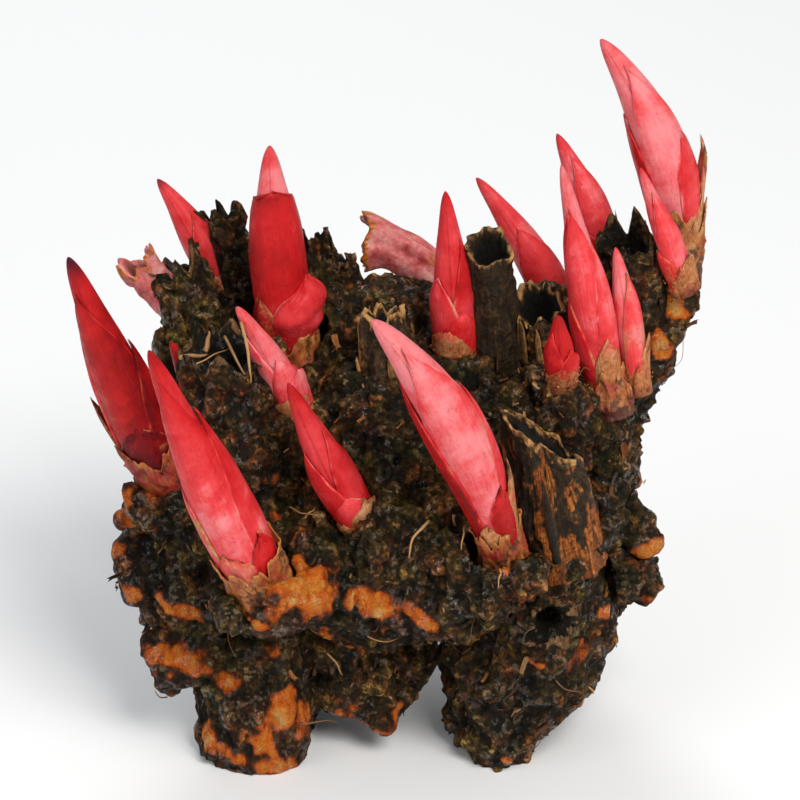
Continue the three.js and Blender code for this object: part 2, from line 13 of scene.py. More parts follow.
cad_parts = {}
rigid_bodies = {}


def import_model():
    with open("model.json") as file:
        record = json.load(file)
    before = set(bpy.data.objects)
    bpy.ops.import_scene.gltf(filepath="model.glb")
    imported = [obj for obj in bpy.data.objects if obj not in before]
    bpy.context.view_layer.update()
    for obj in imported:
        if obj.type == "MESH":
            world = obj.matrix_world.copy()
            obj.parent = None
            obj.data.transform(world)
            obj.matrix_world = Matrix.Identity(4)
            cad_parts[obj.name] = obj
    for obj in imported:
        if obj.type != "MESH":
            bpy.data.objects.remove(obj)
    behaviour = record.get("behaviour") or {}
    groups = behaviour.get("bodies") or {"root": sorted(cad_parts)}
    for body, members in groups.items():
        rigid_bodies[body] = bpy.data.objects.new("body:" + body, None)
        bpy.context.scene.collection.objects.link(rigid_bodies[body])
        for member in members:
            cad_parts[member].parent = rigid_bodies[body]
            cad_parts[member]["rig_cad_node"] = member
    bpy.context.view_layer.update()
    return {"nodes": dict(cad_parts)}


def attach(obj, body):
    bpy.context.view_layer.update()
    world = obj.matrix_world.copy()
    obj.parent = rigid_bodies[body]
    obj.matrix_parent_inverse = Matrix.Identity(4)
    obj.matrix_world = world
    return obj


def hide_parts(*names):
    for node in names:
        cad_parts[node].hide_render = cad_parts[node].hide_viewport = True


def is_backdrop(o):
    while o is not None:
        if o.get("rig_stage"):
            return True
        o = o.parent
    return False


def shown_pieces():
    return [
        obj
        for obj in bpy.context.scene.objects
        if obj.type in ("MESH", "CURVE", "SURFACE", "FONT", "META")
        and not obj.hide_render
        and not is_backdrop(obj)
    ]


bl_info = {
    "name": "Peony root tuber",
    "version": (1, 0, 0),
    "blender": (4, 5, 0),
    "location": "View3D > Sidebar > Peony root",
    "description": "Builds the fine surfaces, debris, materials and stage of a trimmed peony root",
    "category": "Object",
}

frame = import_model()

# Sizes below are in millimetres and angles in degrees, in the drawing's own place.
MM = 0.001
BASE_SHIFT = np.array([-1.22, -0.14, 0.0])  # from the drawing's place to the frame's origin
BODY = "root"

# The photograph's view: it looks along +Y and down.
VIEW_DOWN = 25.0
VIEW_DISTANCE = 620.0
VIEW_TARGET = np.array([1.03, -0.14, 66.0])
VIEW_WIDTH = 148.0  # width of the view at the target
SENSOR = 36.0
IMAGE_SIDE = 800  # pixels

# Walls, and how the scales of a bud lie on each other
SCALE_STEP = 0.22  # height of a bud scale's side above what it lies on
SCALE_LAYER = 0.3  # how much further out each next scale lies
SCALE_CROWN = 0.45  # how much thicker a scale is along its middle
SCALE_SINK = 0.9  # how deep a scale's inner side lies in the bud
SCALE_THIN = 6  # power by which a scale keeps its thickness nearly to its end
SEAM = 0.35  # gap between a husk's solid and its bud
ROOM_ROUND = 1 / math.cos(math.pi / 10)  # the solid husks have ten sides, which clear the bud
HUSK_WALL = 0.75
STEM_WALL = 1.2
RIM_WALL = 0.6
FLAKE_THICKNESS = 0.12  # as a share of half a flake's length
STEM_RIBS = 0.12  # share of its radius that a stem's wall ripples

# Sizes and heights of the bark's forms
SWELL_SIZE = 14.0
SWELL_HEIGHT = 1.3
KNOB_SIZE = 8.5
KNOB_HEIGHT = 3.6
NODULE_SIZE = 4.0
NODULE_HEIGHT = 2.1
WART_SIZE = 1.9
WART_HEIGHT = 1.0
FIBRE_SIZE = 2.0
FIBRE_HEIGHT = 1.2
GRIT_SIZE = 0.95
GRIT_HEIGHT = 0.3

# How finely the pieces are divided: rows along and columns round
CORE_ROWS = 60
CORE_COLUMNS = 40
HUSK_ROWS_UP = 34
HUSK_ROWS_DOWN = 14
HUSK_COLUMNS = 96
STUB_ROWS_UP = 44
STUB_ROWS_DOWN = 22
STUB_ROWS_ACROSS = 6
STUB_COLUMNS = 84
WIDE_STUB = 6.0  # radius from which a stub has more columns
WIDE_STUB_COLUMNS = 120
STRIP_ROWS = 18
STRIP_COLUMNS = 6
FLAKE_ROWS = 4
FLAKE_COLUMNS = 3

# How many dry scales and crumbs of soil lie round the foot of each bud
COLLAR_SCALES = 5
COLLAR_CRUMBS = 60


@dataclass
class Scale:
    """A scale of a bud, or a strip of skin on a stub: a leaf that lies on a turned body."""

    facing: float  # angle round the axis, from the side that shows
    reach: float  # where its end lies, as a share of the axis
    half_width: float  # angle from its middle to its side
    lift: float = 0.3  # how far its end stands off
    close: float = 2.6  # power by which it narrows: the higher, the blunter its end
    tone: float = 0.0  # how much paler than its bud it is
    dry: float = 0.15  # fresh at 0 and papery at 1
    torn: float = 0.015  # how ragged its end is
    start: float = 0.02  # where its foot lies, as a share of the axis
    swell: float = 0.0  # how far it bulges between foot and end


@dataclass
class Bud:
    """A shoot on its axis, with its scales from the innermost and longest to the outermost."""

    base: tuple
    tip: tuple
    radius: float  # where it is thickest
    tone: float  # crimson at 0 and pale pink at 1
    seed: int
    scales: list
    bend: tuple = (0, 0, 0)  # how far its middle stands off a straight line
    belly: float = 0.38  # where it is thickest, as a share of its length
    foot: float = 0.75  # radius of its foot, as a share of the largest
    point: float = 1.7  # power by which it narrows: the higher, the fuller it is
    blunt: float = 0.3  # how rounded its tip is
    core: float = None  # tone of the shoot that shows above the scales, if it isn't the bud's
    slope: float = 0.0  # how much paler its foot is than its tip
    blotch: float = 0.08  # strength of the pale blotches on its lower half
    mottle: float = 0.2  # how much of its skin is worn and dry
    tip_dark: float = 0.2


@dataclass
class Husk:
    """A dry papery cup round the foot of a bud."""

    bud: str
    start: float  # where its foot lies, as a share of the bud's axis
    rim: float  # where its rim lies
    tear: float  # how uneven its rim is
    tone: float  # brown at 0 and tan at 1
    seed: int
    flare: float = 1.0  # how far its rim stands off


@dataclass
class Stub:
    """A hollow stub of an old stem or of a broken shoot, on its axis."""

    base: tuple
    tip: tuple
    radius: float  # at its rim
    foot: float  # radius at its foot
    floor: float  # where the floor of its bore lies, as a share of the axis
    tear: float  # height of the rim's slow waves, as a share of the axis
    teeth: float  # height of the rim's torn teeth
    pale: float  # how pale its torn wood is
    seed: int
    bend: tuple = (0, 0, 0)
    slant: float = 0.0  # how far its rim leans, as a share of the axis
    slant_to: float = 0.0  # the side where its rim is highest
    flat: float = 0.0  # how much its front and back are pressed in
    flare: float = 0.0  # how far its mouth widens
    thickness: float = STEM_WALL
    ribs: float = 1.0  # strength of its long ribs
    knobs: float = 0.5  # height of its knobs
    rough: bool = False  # covered in the bark's nodules
    bark: float = 0.45  # share of its skin that is bare orange-brown bark
    band: float = 0.93  # where its pale torn rim begins
    strips: int = 7  # number of torn strips of skin


BUDS = {
    "bud_left_outer": Bud(
        base=(-41, -8, 54), tip=(-56.5, -14, 100.5), bend=(-0.2, 0, 0), radius=4.5, foot=0.6,
        belly=0.28, point=2.0, blunt=0.35, tone=0.21, slope=-0.26, tip_dark=0.8, mottle=0.5,
        seed=1,
        scales=[
            Scale(-30, 0.86, 120, 0.2, 4, tone=0.02),
            Scale(78, 0.6, 58, 0.8, tone=-0.02, dry=0.3, torn=0.06),
            Scale(-95, 0.7, 26, 0.3, 4, tone=0.3, dry=0.1, torn=0.03),
            Scale(0, 0.3, 90, tone=-0.12, dry=0.36, torn=0.1),
            Scale(-100, 0.36, 30, 2.6, 4, tone=-0.2, dry=0.95, torn=0.16),
            Scale(-62, 0.2, 36, 1.8, 4, tone=-0.2, dry=0.9, torn=0.14),
        ],
    ),
    "bud_left_front": Bud(
        base=(-22, -32, 44), tip=(-40.5, -42, 95), bend=(-0.6, 0, -0.6), radius=4.7, foot=0.7,
        belly=0.3, blunt=0.35, tone=0.58, slope=0.42, blotch=0.15, tip_dark=0.25, mottle=0.3,
        seed=2,
        scales=[
            Scale(-10, 0.91, 118, 0.1, 4),
            Scale(84, 0.74, 58, 0.7, tone=-0.06, torn=0.03),
            Scale(-88, 0.5, 42, 0.6, 5, tone=0.1, dry=0.42, torn=0.06),
            Scale(-30, 0.22, 60, 0.6, 5, tone=0.05, dry=0.6, torn=0.14),
            Scale(48, 0.27, 34, 1.2, 5, tone=-0.22, dry=0.2, torn=0.14),
        ],
    ),
    "bud_back_tall": Bud(
        base=(-17.5, 8, 66), tip=(-21.3, 6, 114), bend=(-1.2, 0, 0), radius=4.6, foot=0.72,
        belly=0.5, point=2.0, tone=0.38, core=0.84, tip_dark=0.05, seed=3,
        scales=[
            Scale(0, 0.83, 172, 0.5, 14, tone=-0.06, dry=0.25, torn=0.012),
            Scale(66, 0.46, 92, 0.3, 5, tone=0.2, dry=0.24, torn=0.06, start=0.17, swell=2.7),
            Scale(-48, 0.4, 58, 0.4, 4, tone=-0.2, dry=0.45, torn=0.06, swell=0.6),
            Scale(40, 0.2, 60, 1.0, 5, tone=-0.1, dry=0.9, torn=0.12),
        ],
    ),
    "bud_left_back": Bud(
        base=(-31, 20, 80), tip=(-43.2, 24, 100.5), bend=(1.2, 0, 0.8), radius=3.4, belly=0.35,
        tone=0.58, tip_dark=0.6, seed=4,
        scales=[
            Scale(50, 0.66, 80, tone=-0.06, dry=0.25),
            Scale(-60, 0.25, 80, tone=0.05, dry=0.6, torn=0.1),
        ],
    ),
    "bud_left_small": Bud(
        base=(-16.5, -10, 69), tip=(-27, -12, 90), bend=(0.8, 0, 0.8), radius=2.8, belly=0.3,
        blunt=0.42, tone=0.8, mottle=0.3, seed=5,
        scales=[
            Scale(-60, 0.8, 70, tone=0.02),
            Scale(30, 0.5, 80, tone=-0.06),
            Scale(60, 0.34, 60, 1.6, 4, dry=0.2),
            Scale(0, 0.16, 90, 0.9, 5, tone=-0.1, dry=0.8, torn=0.1),
        ],
    ),
    "bud_centre_left": Bud(
        base=(-4, -22, 51), tip=(-17.5, -26, 81.5), bend=(-0.8, 0, -0.8), radius=3.5, foot=0.72,
        belly=0.4, tone=0.5, tip_dark=0.25, seed=6,
        scales=[
            Scale(55, 0.68, 66, tone=-0.02),
            Scale(-50, 0.6, 62, tone=-0.1),
            Scale(5, 0.3, 75, tone=0.12, dry=0.35, torn=0.05),
            Scale(48, 0.2, 84, 1.3, 3.4, tone=0.4, dry=0.95, torn=0.2),
            Scale(-40, 0.12, 70, 1.0, 3, tone=0.2, dry=0.9, torn=0.2),
        ],
    ),
    "bud_centre_front": Bud(
        base=(20.5, -29, 50), tip=(-2.5, -44, 101.5), bend=(5, 0, 4.4), radius=4.55, foot=0.4,
        belly=0.5, point=2.1, tone=0.82, slope=-0.26, tip_dark=0.1, seed=7,
        scales=[
            Scale(22, 0.87, 100, 0.2, 3.2, dry=0.12),
            Scale(100, 0.62, 60, 0.5, tone=-0.1, dry=0.35, torn=0.05),
            Scale(-74, 0.74, 48, 0.05, tone=-0.52),
            Scale(-14, 0.12, 64, 0.8, 9, dry=0.8, torn=0.2),
            Scale(52, 0.22, 52, 0.7, 9, tone=-0.42, dry=0.1, torn=0.2),
            Scale(84, 0.3, 26, 1.8, 7, tone=0.1, dry=0.9, torn=0.2),
        ],
    ),
    "bud_centre_upright": Bud(
        base=(12.5, 2, 75), tip=(10.4, 0, 107.5), bend=(0.4, 0, 0), radius=3.5, foot=0.85,
        belly=0.36, tone=0.56, tip_dark=0.4, seed=8,
        scales=[
            Scale(55, 0.72, 62, tone=-0.04),
            Scale(-45, 0.5, 70, tone=0.05),
            Scale(25, 0.3, 75, tone=-0.04, dry=0.25, torn=0.03),
            Scale(-20, 0.19, 74, 0.8, 2.4, tone=0.12, dry=0.8, torn=0.12),
        ],
    ),
    "bud_behind": Bud(
        base=(33.5, 22, 73), tip=(16.5, 26, 100), bend=(1.4, 0, 1.6), radius=3.6, foot=0.9,
        belly=0.3, tone=0.66, tip_dark=0.4, mottle=0.3, seed=9,
        scales=[
            Scale(20, 0.62, 90, tone=-0.06),
            Scale(-60, 0.3, 80, tone=-0.2, dry=0.35, torn=0.06),
        ],
    ),
    "bud_right_back": Bud(
        base=(41.5, 16, 86), tip=(31, 16, 112.5), bend=(0.8, 0, 0.6), radius=3.2, belly=0.4,
        tone=0.7, tip_dark=0.5, seed=10,
        scales=[
            Scale(30, 0.84, 85),
            Scale(-60, 0.4, 70, tone=-0.1, dry=0.25, torn=0.03),
        ],
    ),
    "bud_right_tall": Bud(
        base=(40, -4, 70), tip=(31, -2, 113.5), bend=(0.6, 0, -0.6), radius=3.2, foot=0.6,
        belly=0.36, tone=0.68, core=0.9, tip_dark=0.08, seed=11,
        scales=[
            Scale(-15, 0.8, 85, 0.5, 7, tone=-0.03, dry=0.3, torn=0.03),
            Scale(60, 0.66, 60, tone=0.02, dry=0.2),
            Scale(-75, 0.45, 60, tone=-0.14, dry=0.3, torn=0.03),
            Scale(30, 0.23, 60, 1.2, 2.6, tone=0.15, dry=0.75, torn=0.12),
        ],
    ),
    "bud_right_companion": Bud(
        base=(45.5, -4, 71), tip=(41.2, -1, 97), bend=(0.4, 0, 0), radius=2.2, foot=0.8,
        belly=0.5, point=2.2, tone=0.82, tip_dark=0.15, seed=12,
        scales=[
            Scale(40, 0.8, 80, tone=-0.03, dry=0.45, torn=0.05),
            Scale(80, 0.32, 60, 1.4, 2.6, tone=-0.1, dry=0.75, torn=0.12),
        ],
    ),
    "bud_top_right": Bud(
        base=(53.2, 11, 89), tip=(38, 8, 133.5), bend=(8, 0, 1.2), radius=4.4, foot=0.48,
        belly=0.45, point=2.2, tone=0.83, tip_dark=0.3, seed=13,
        scales=[
            Scale(25, 0.88, 95, 0.2, 3.2, tone=0.06),
            Scale(-75, 0.7, 56, 0.1, tone=-0.42),
            Scale(66, 0.55, 50, 0.5, 8, tone=-0.17, torn=0.04),
            Scale(50, 0.24, 60, 1.0, 5, tone=0.15, dry=0.75, torn=0.1),
            Scale(84, 0.34, 30, 1.6, 7, tone=0.3, dry=0.9, torn=0.14),
            Scale(96, 0.47, 21, 3.4, 9, tone=0.1, dry=0.95, torn=0.12),
        ],
    ),
    "bud_right_slim": Bud(
        base=(54, 1, 89), tip=(45.3, 0, 112), radius=2.2, belly=0.4, tone=0.72, mottle=0.4,
        seed=14,
        scales=[
            Scale(20, 0.8, 80, tone=0.02),
            Scale(-60, 0.35, 70, tone=-0.1, dry=0.45, torn=0.05),
            Scale(60, 0.25, 50, 1.4, 5, tone=-0.1, dry=0.85, torn=0.12),
        ],
    ),
    "bud_small_round": Bud(
        base=(31.5, -13, 76), tip=(30.3, -16, 90), radius=2.5, foot=0.6, belly=0.4, point=2.0,
        blunt=0.42, tone=0.42, tip_dark=0.35, mottle=0.1, seed=15,
        scales=[
            Scale(-45, 0.8, 60),
            Scale(45, 0.55, 70, tone=0.05),
            Scale(10, 0.32, 80, 0.7, 2.2, tone=-0.1, dry=0.6, torn=0.1),
        ],
    ),
    "bud_left_tiny": Bud(
        base=(-34, -1, 66), tip=(-39.5, -5, 80), radius=2.3, belly=0.35, tone=0.42,
        tip_dark=0.3, mottle=0.3, seed=16,
        scales=[Scale(0, 0.7, 80, tone=-0.05), Scale(-40, 0.25, 80, 0.8, 5, dry=0.7, torn=0.1)],
    ),
}

HUSKS = {
    "husk_left_front": Husk("bud_left_front", -0.05, 0.15, 0.07, tone=0.52, seed=2),
    "husk_left_outer": Husk("bud_left_outer", -0.05, 0.14, 0.06, tone=0.3, seed=5, flare=0.25),
    "husk_centre_front": Husk(
        "bud_centre_front", -0.05, 0.08, 0.035, tone=0.4, seed=3, flare=0.4
    ),
    "husk_back_tall": Husk("bud_back_tall", -0.04, 0.22, 0.04, tone=0.42, seed=4, flare=0.2),
    "husk_right_tall": Husk("bud_right_tall", -0.06, 0.08, 0.05, tone=0.4, seed=6, flare=0.2),
    "husk_top_right": Husk("bud_top_right", -0.04, 0.17, 0.1, tone=0.58, seed=7),
}

STEMS = {
    "old_stem_centre": Stub(
        base=(20, 4, 72), tip=(18.5, -1, 97.5), radius=3.8, foot=4.9, floor=0.6, tear=0.012,
        teeth=0.5, pale=0.5, ribs=0.3, knobs=0.2, bark=0.05, strips=1, band=0.965,
        slant=0.075, slant_to=180, seed=2,
    ),
    "old_stem_right": Stub(
        base=(46, 6, 80), tip=(43.5, 3, 97.5), radius=5, foot=6, floor=0.4, tear=0.17,
        teeth=3.0, pale=0.35, knobs=0.9, bark=0.6, rough=True, thickness=1.8, seed=5,
    ),
    "old_stem_slant": Stub(
        base=(31, -20, 48), tip=(27, -25, 71), radius=6.4, foot=7.6, floor=0.86, tear=0.03,
        teeth=1.3, pale=0.6, bark=0.82, strips=1, slant=0.27, slant_to=-80, flat=0.36, seed=3,
    ),
    "old_stem_left": Stub(
        base=(-27, -8, 68), tip=(-29, -9, 81), radius=8.2, foot=9, floor=0.5, tear=0.1,
        teeth=3.0, pale=0.5, knobs=1.0, bark=0.5, strips=3, rough=True, thickness=2.6, seed=7,
    ),
    "old_stem_back_left": Stub(
        base=(-27, 20, 76), tip=(-32, 22, 94), radius=3.5, foot=4.8, floor=0.88, tear=0.12,
        teeth=2.4, pale=0.3, knobs=0.8, strips=1, rough=True, thickness=1.7, seed=8,
    ),
    "old_stem_far_left": Stub(
        base=(-35, 9, 74), tip=(-39, 12, 89), radius=4.8, foot=6.2, floor=0.6, tear=0.18,
        teeth=3.0, pale=0.4, knobs=0.8, strips=3, rough=True, thickness=1.8, seed=11,
    ),
    "old_stem_back": Stub(
        base=(-13, 18, 74), tip=(-14.5, 19, 91), radius=3.2, foot=4.4, floor=0.88, tear=0.14,
        teeth=2.0, pale=0.3, knobs=0.6, strips=1, rough=True, thickness=1.6, seed=4,
    ),
    "old_stem_thin": Stub(
        base=(-6, 18, 74), tip=(-8.5, 19, 87), radius=2.4, foot=3.4, floor=0.9, tear=0.1,
        teeth=1.6, pale=0.3, strips=0, rough=True, seed=6,
    ),
    "old_stem_middle": Stub(
        base=(1, -6, 70), tip=(-1, -7, 86.5), radius=3.9, foot=5.4, floor=0.6, tear=0.12,
        teeth=2.4, pale=0.85, strips=12, seed=9,
    ),
    "old_stem_notch": Stub(
        base=(29, 5, 74), tip=(27.5, 2, 84.5), radius=4.2, foot=5, floor=0.4, tear=0.16,
        teeth=2.6, pale=0.85, seed=14,
    ),
    "old_stem_front": Stub(
        base=(28, -27, 38), tip=(29, -37.4, 39.2), radius=3.6, foot=4.4, floor=0.35, tear=0.08,
        teeth=1.5, pale=1.0, knobs=0.4, strips=0, rough=True, thickness=1.1, flare=1.0,
        band=0.82, seed=12,
    ),
}

BROKEN_SHOOTS = {
    "broken_shoot_left": Stub(
        base=(-37.5, 12, 77), tip=(-47, 12, 89), radius=3.4, foot=3.6, floor=0.7, tear=0.12,
        teeth=1.1, pale=0.5, bark=0.4, strips=0, flare=0.1, seed=15,
    ),
    "broken_shoot_back": Stub(
        base=(15, 21, 73), tip=(-4.5, 27, 86.6), bend=(0, 3, 7), radius=4, foot=4.6, floor=0.85,
        tear=0.035, teeth=0.9, pale=0.5, knobs=0.3, bark=0.5, strips=1, flare=1.6, seed=17,
    ),
}

ROOTS = [
    "root_front_right", "root_front_left", "root_left_middle", "root_left_upper",
    "root_centre_small", "root_right_flake", "root_right_thin", "root_stub_left",
    "root_back_left", "root_back_right", "root_back",
]

# Share of the bark's relief on the roots, and on those that are smoother than the rest
ROOT_RELIEF = 0.75
CALM_ROOTS = {"root_left_upper": 0.42, "root_stub_left": 0.4, "root_left_middle": 0.6}

# Roots whose right side is drawn in near the sole: right of where, and by what share
TAPERS = {"root_front_right": (19.5, 0.34)}

# Bare orange-brown bark shows in strokes between these pixels of the photograph, each with a
# radius in millimetres.
BARK_SPOTS = {
    "knob_under_left_bud": ((262, 572), (302, 585), 7.5),
    "knob_under_outer_bud": ((138, 482), (156, 490), 3.2),
    "middle_root_wedge": ((160, 653), (186, 664), 5.4),
    "middle_root_wedge_end": ((188, 670), (228, 685), 3.4),
    "upper_root_edge": ((117, 550), (134, 596), 2.3),
    "left_stub": ((124, 505), (134, 524), 1.3),
    "left_low_patch": ((160, 596), (198, 614), 1.9),
    "left_low_chip": ((250, 620), (266, 624), 1.0),
    "left_foot_stripe": ((288, 704), (260, 750), 3.3),
    "left_foot_low": ((226, 756), (290, 764), 2.7),
    "left_foot_spur": ((204, 730), (220, 750), 2.9),
    "small_root_end": ((364, 730), (398, 712), 2.6),
    "bean_left": ((356, 600), (390, 612), 2.8),
    "bean_right": ((408, 608), (430, 622), 1.9),
    "bean_low": ((324, 628), (336, 638), 1.5),
    "bean_low_right": ((352, 640), (362, 646), 1.4),
    "under_centre_bud": ((484, 556), (504, 566), 2.0),
    "slant_stem_streak": ((544, 440), (556, 500), 2.2),
    "slant_stem_root": ((556, 505), (558, 552), 2.8),
    "slant_stem_side": ((514, 520), (524, 556), 1.8),
    "right_trunk_top": ((668, 280), (676, 308), 2.0),
    "right_trunk_low": ((652, 330), (662, 352), 2.0),
    "right_flake_edge": ((604, 612), (650, 598), 1.6),
    "right_strip_end": ((640, 552), (656, 544), 1.9),
    "foot_fleck_high": ((538, 612), (548, 612), 0.8),
    "foot_fleck_mid": ((530, 660), (540, 666), 1.0),
    "foot_fleck_side": ((586, 712), (594, 722), 1.3),
    "foot_fleck_low": ((508, 758), (518, 758), 1.0),
}

# Straws and dry threads: pixels of both ends, radius, how far the middle stands off.
STRAWS = {
    "rim_straw": ((176, 352), (211, 350), 0.48, 0.2),
    "upright_chip": ((207, 348), (211, 328), 0.5, 0.4),
    "slant_straw": ((221, 332), (252, 384), 0.3, 0.5),
    "bowed_straw": ((237, 325), (254, 386), 0.3, 2.4),
    "loose_straw": ((196, 360), (226, 352), 0.16, 0.6),
    "left_thread": ((290, 503), (314, 512), 0.2, 1.0),
    "left_thread_end": ((300, 514), (312, 503), 0.18, 0.6),
    "centre_thread": ((430, 517), (413, 554), 0.28, 1.8),
    "middle_thread": ((463, 526), (462, 547), 0.22, 1.6),
    "low_thread": ((496, 566), (501, 589), 0.22, 1.2),
    "bottom_thread": ((327, 656), (345, 679), 0.22, 1.0),
    "foot_thread": ((592, 690), (604, 706), 0.2, 1.2),
}


# Arrays, random numbers and noise

def stacked(*values):
    """Numbers and arrays as the parts of one array of vectors, all spread to one shape."""
    return np.stack(np.broadcast_arrays(*values), axis=-1)


def angles_round(sides):
    """One row of that many even angles round an axis."""
    return np.linspace(0, 2 * math.pi, sides, endpoint=False)[None, :]


def lattice(cells, seed):
    """A repeatable random number from 0 to 1 for each whole-number place, by mixing its bits."""
    x, y, z = (cells[..., i].astype(np.uint32) for i in range(3))
    with np.errstate(over="ignore"):
        mixed = x * np.uint32(374761393) + y * np.uint32(668265263) + z * np.uint32(2246822519)
        mixed = mixed + np.uint32(seed * 7919 + 17)
        mixed = (mixed ^ (mixed >> np.uint32(13))) * np.uint32(1274126177)
        mixed = (mixed ^ (mixed >> np.uint32(15))) * np.uint32(2654435761)
        mixed = mixed ^ (mixed >> np.uint32(16))
    return (mixed & np.uint32(0xFFFF)).astype(float) / 0xFFFF


def lumps(points, size, seed):
    """Smooth noise from -1 to 1: lattice numbers that far apart, blended by smoothstep."""
    place = points / size
    cell = np.floor(place).astype(np.int64)
    weight = smooth(place - cell)
    total = 0.0
    for corner in np.ndindex(2, 2, 2):
        share = np.where(np.array(corner), weight, 1 - weight).prod(axis=-1)
        total = total + share * lattice(cell + np.array(corner), seed)
    return 2 * total - 1


def nearest_cell(points, size, seed):
    """Distance to the nearest of the points strewn one to each cell, in cell sizes."""
    place = points / size
    cell = np.floor(place).astype(np.int64)
    best = np.full(points.shape[:-1], 9.0)
    for step in np.ndindex(3, 3, 3):
        near = cell + np.array(step) - 1
        strewn = near + np.stack([lattice(near, seed + i) for i in range(3)], axis=-1)
        best = np.minimum(best, ((place - strewn) ** 2).sum(axis=-1))
    return np.sqrt(best)


def smooth(value, low=0.0, high=1.0):
    """Smoothstep: rises from 0 at low to 1 at high without corners."""
    share = np.clip((value - low) / (high - low), 0, 1)
    return share * share * (3 - 2 * share)


def wander(x, y, z, seed):
    """Three products of sines: a slow wander between about -1 and 1, as the solids have."""
    first = np.sin(x * 1.9 + seed * 1.3) * np.cos(y * 2.3 - seed * 0.7)
    second = np.sin(y * 3.1 + seed * 2.1) * np.cos(z * 2.7 + seed)
    third = np.sin(z * 4.3 - seed * 1.7) * np.cos(x * 3.7 + seed * 0.4)
    return (first + second + third) / 2


def ring_noise(angle, along, size, seed):
    """Noise that closes on itself round a piece: lumps read on a cylinder of that radius."""
    place = stacked(np.cos(angle), np.sin(angle), along)
    return lumps(place / size + seed * 3.7, 1.0, seed)


# Axes and surfaces

def unit(vector):
    """The vector at length 1."""
    return vector / np.linalg.norm(vector, axis=-1, keepdims=True)


class Axis:
    """A quadratic curve from base to tip, bent at its middle, that pieces are turned on."""

    def __init__(self, piece):
        self.start = np.array(piece.base, float)
        self.end = np.array(piece.tip, float)
        self.middle = (self.start + self.end) / 2 + np.array(piece.bend, float)
        run = self.end - self.start
        runs_back = abs(run[1]) > 0.8 * np.linalg.norm(run)
        self.facing = np.array([0, 0, 1.0]) if runs_back else np.array([0, -1.0, 0])
        steps = self.point(np.linspace(0, 1, 101)[:, None])
        self.length = np.linalg.norm(np.diff(steps, axis=0), axis=1).sum()

    def point(self, t):
        """(1-t) squared of start, 2t(1-t) of middle and t squared of end."""
        return (1 - t) ** 2 * self.start + 2 * t * (1 - t) * self.middle + t**2 * self.end

    def at(self, t, angle, radius):
        """The point at share t, out by radius at that angle. Past its ends the axis is straight."""
        t, angle, radius = (a[..., None] for a in np.broadcast_arrays(t, angle, radius))
        along = np.clip(t, 0, 1)
        tangent = unit((1 - along) * (self.middle - self.start) + along * (self.end - self.middle))
        front = unit(self.facing - (tangent @ self.facing)[..., None] * tangent)
        side = np.cross(tangent, front)
        out = front * np.cos(angle) + side * np.sin(angle)
        return self.point(along) + tangent * (t - along) * self.length + out * radius


def grain_of(axis, t, angle, radius, apart):
    """Millimetres round and along a piece, and a number that sets it apart from others."""
    return stacked(angle * radius, t * axis.length, apart)


class Surface:
    """A mesh in the making, in millimetres. Each point has a grain, which is its place round
    and along its piece, and a look, which its material reads."""

    def __init__(self):
        self.points = []
        self.grain = []
        self.look = []
        self.quads = []
        self.triangles = []
        self.count = 0

    def add(self, points, grain, look, quads, triangles):
        """Adds loose points with their faces."""
        self.points.append(points.reshape(-1, 3))
        self.grain.append(np.broadcast_to(grain, points.shape).reshape(-1, 3))
        self.look.append(np.broadcast_to(look, points.shape).reshape(-1, 3))
        self.quads.append(quads.reshape(-1, 4) + self.count)
        self.triangles.append(triangles.reshape(-1, 3) + self.count)
        self.count += len(self.points[-1])

    def rings(self, rings, grain, look):
        """Adds closed rings, counter-clockwise seen from the last, with a fan over each end."""
        steps, sides = rings.shape[:2]
        index = np.arange(steps * sides).reshape(steps, sides)
        after = np.roll(index, -1, axis=1)
        quads = np.stack([index[:-1], after[:-1], after[1:], index[1:]], axis=-1)
        first, last = steps * sides, steps * sides + 1
        foot = np.stack([np.full(sides, first), after[0], index[0]], axis=-1)
        top = np.stack([np.full(sides, last), index[-1], after[-1]], axis=-1)
        grids = (np.broadcast_to(values, rings.shape) for values in (rings, grain, look))
        whole = [
            np.concatenate([a.reshape(-1, 3), a[:1].mean(axis=1), a[-1:].mean(axis=1)])
            for a in grids
        ]
        self.add(*whole, quads, np.concatenate([foot, top]))

    def object(self, name, material):
        """The finished piece, in metres, at the origin and riding on the body."""
        points = (np.concatenate(self.points) + BASE_SHIFT) * MM
        points[:, 2] = np.maximum(points[:, 2], 0.0)
        quads = np.concatenate(self.quads)
        triangles = np.concatenate(self.triangles)
        mesh = bpy.data.meshes.new(name)
        mesh.vertices.add(len(points))
        mesh.vertices.foreach_set("co", points.astype(np.float32).ravel())
        mesh.loops.add(quads.size + triangles.size)
        corners = np.concatenate([quads.ravel(), triangles.ravel()])
        mesh.loops.foreach_set("vertex_index", corners.astype(np.int32))
        starts = np.concatenate(
            [np.arange(len(quads)) * 4, quads.size + np.arange(len(triangles)) * 3]
        )
        mesh.polygons.add(len(starts))
        mesh.polygons.foreach_set("loop_start", starts.astype(np.int32))
        mesh.update(calc_edges=True)
        write_vectors(mesh, "grain", np.concatenate(self.grain))
        write_vectors(mesh, "look", np.concatenate(self.look))
        return placed(name, mesh, material)


def write_vectors(mesh, name, values):
    """Stores one vector for each vertex under that name."""
    attribute = mesh.attributes.new(name, "FLOAT_VECTOR", "POINT")
    attribute.data.foreach_set("vector", values.astype(np.float32).ravel())


def placed(name, mesh, material):
    """An object of that mesh in the scene, with its finish, riding on the body."""
    mesh.shade_smooth()
    mesh.materials.clear()
    mesh.materials.append(material)
    piece = bpy.data.objects.new(name, mesh)
    bpy.context.scene.collection.objects.link(piece)
    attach(piece, BODY)
    return piece


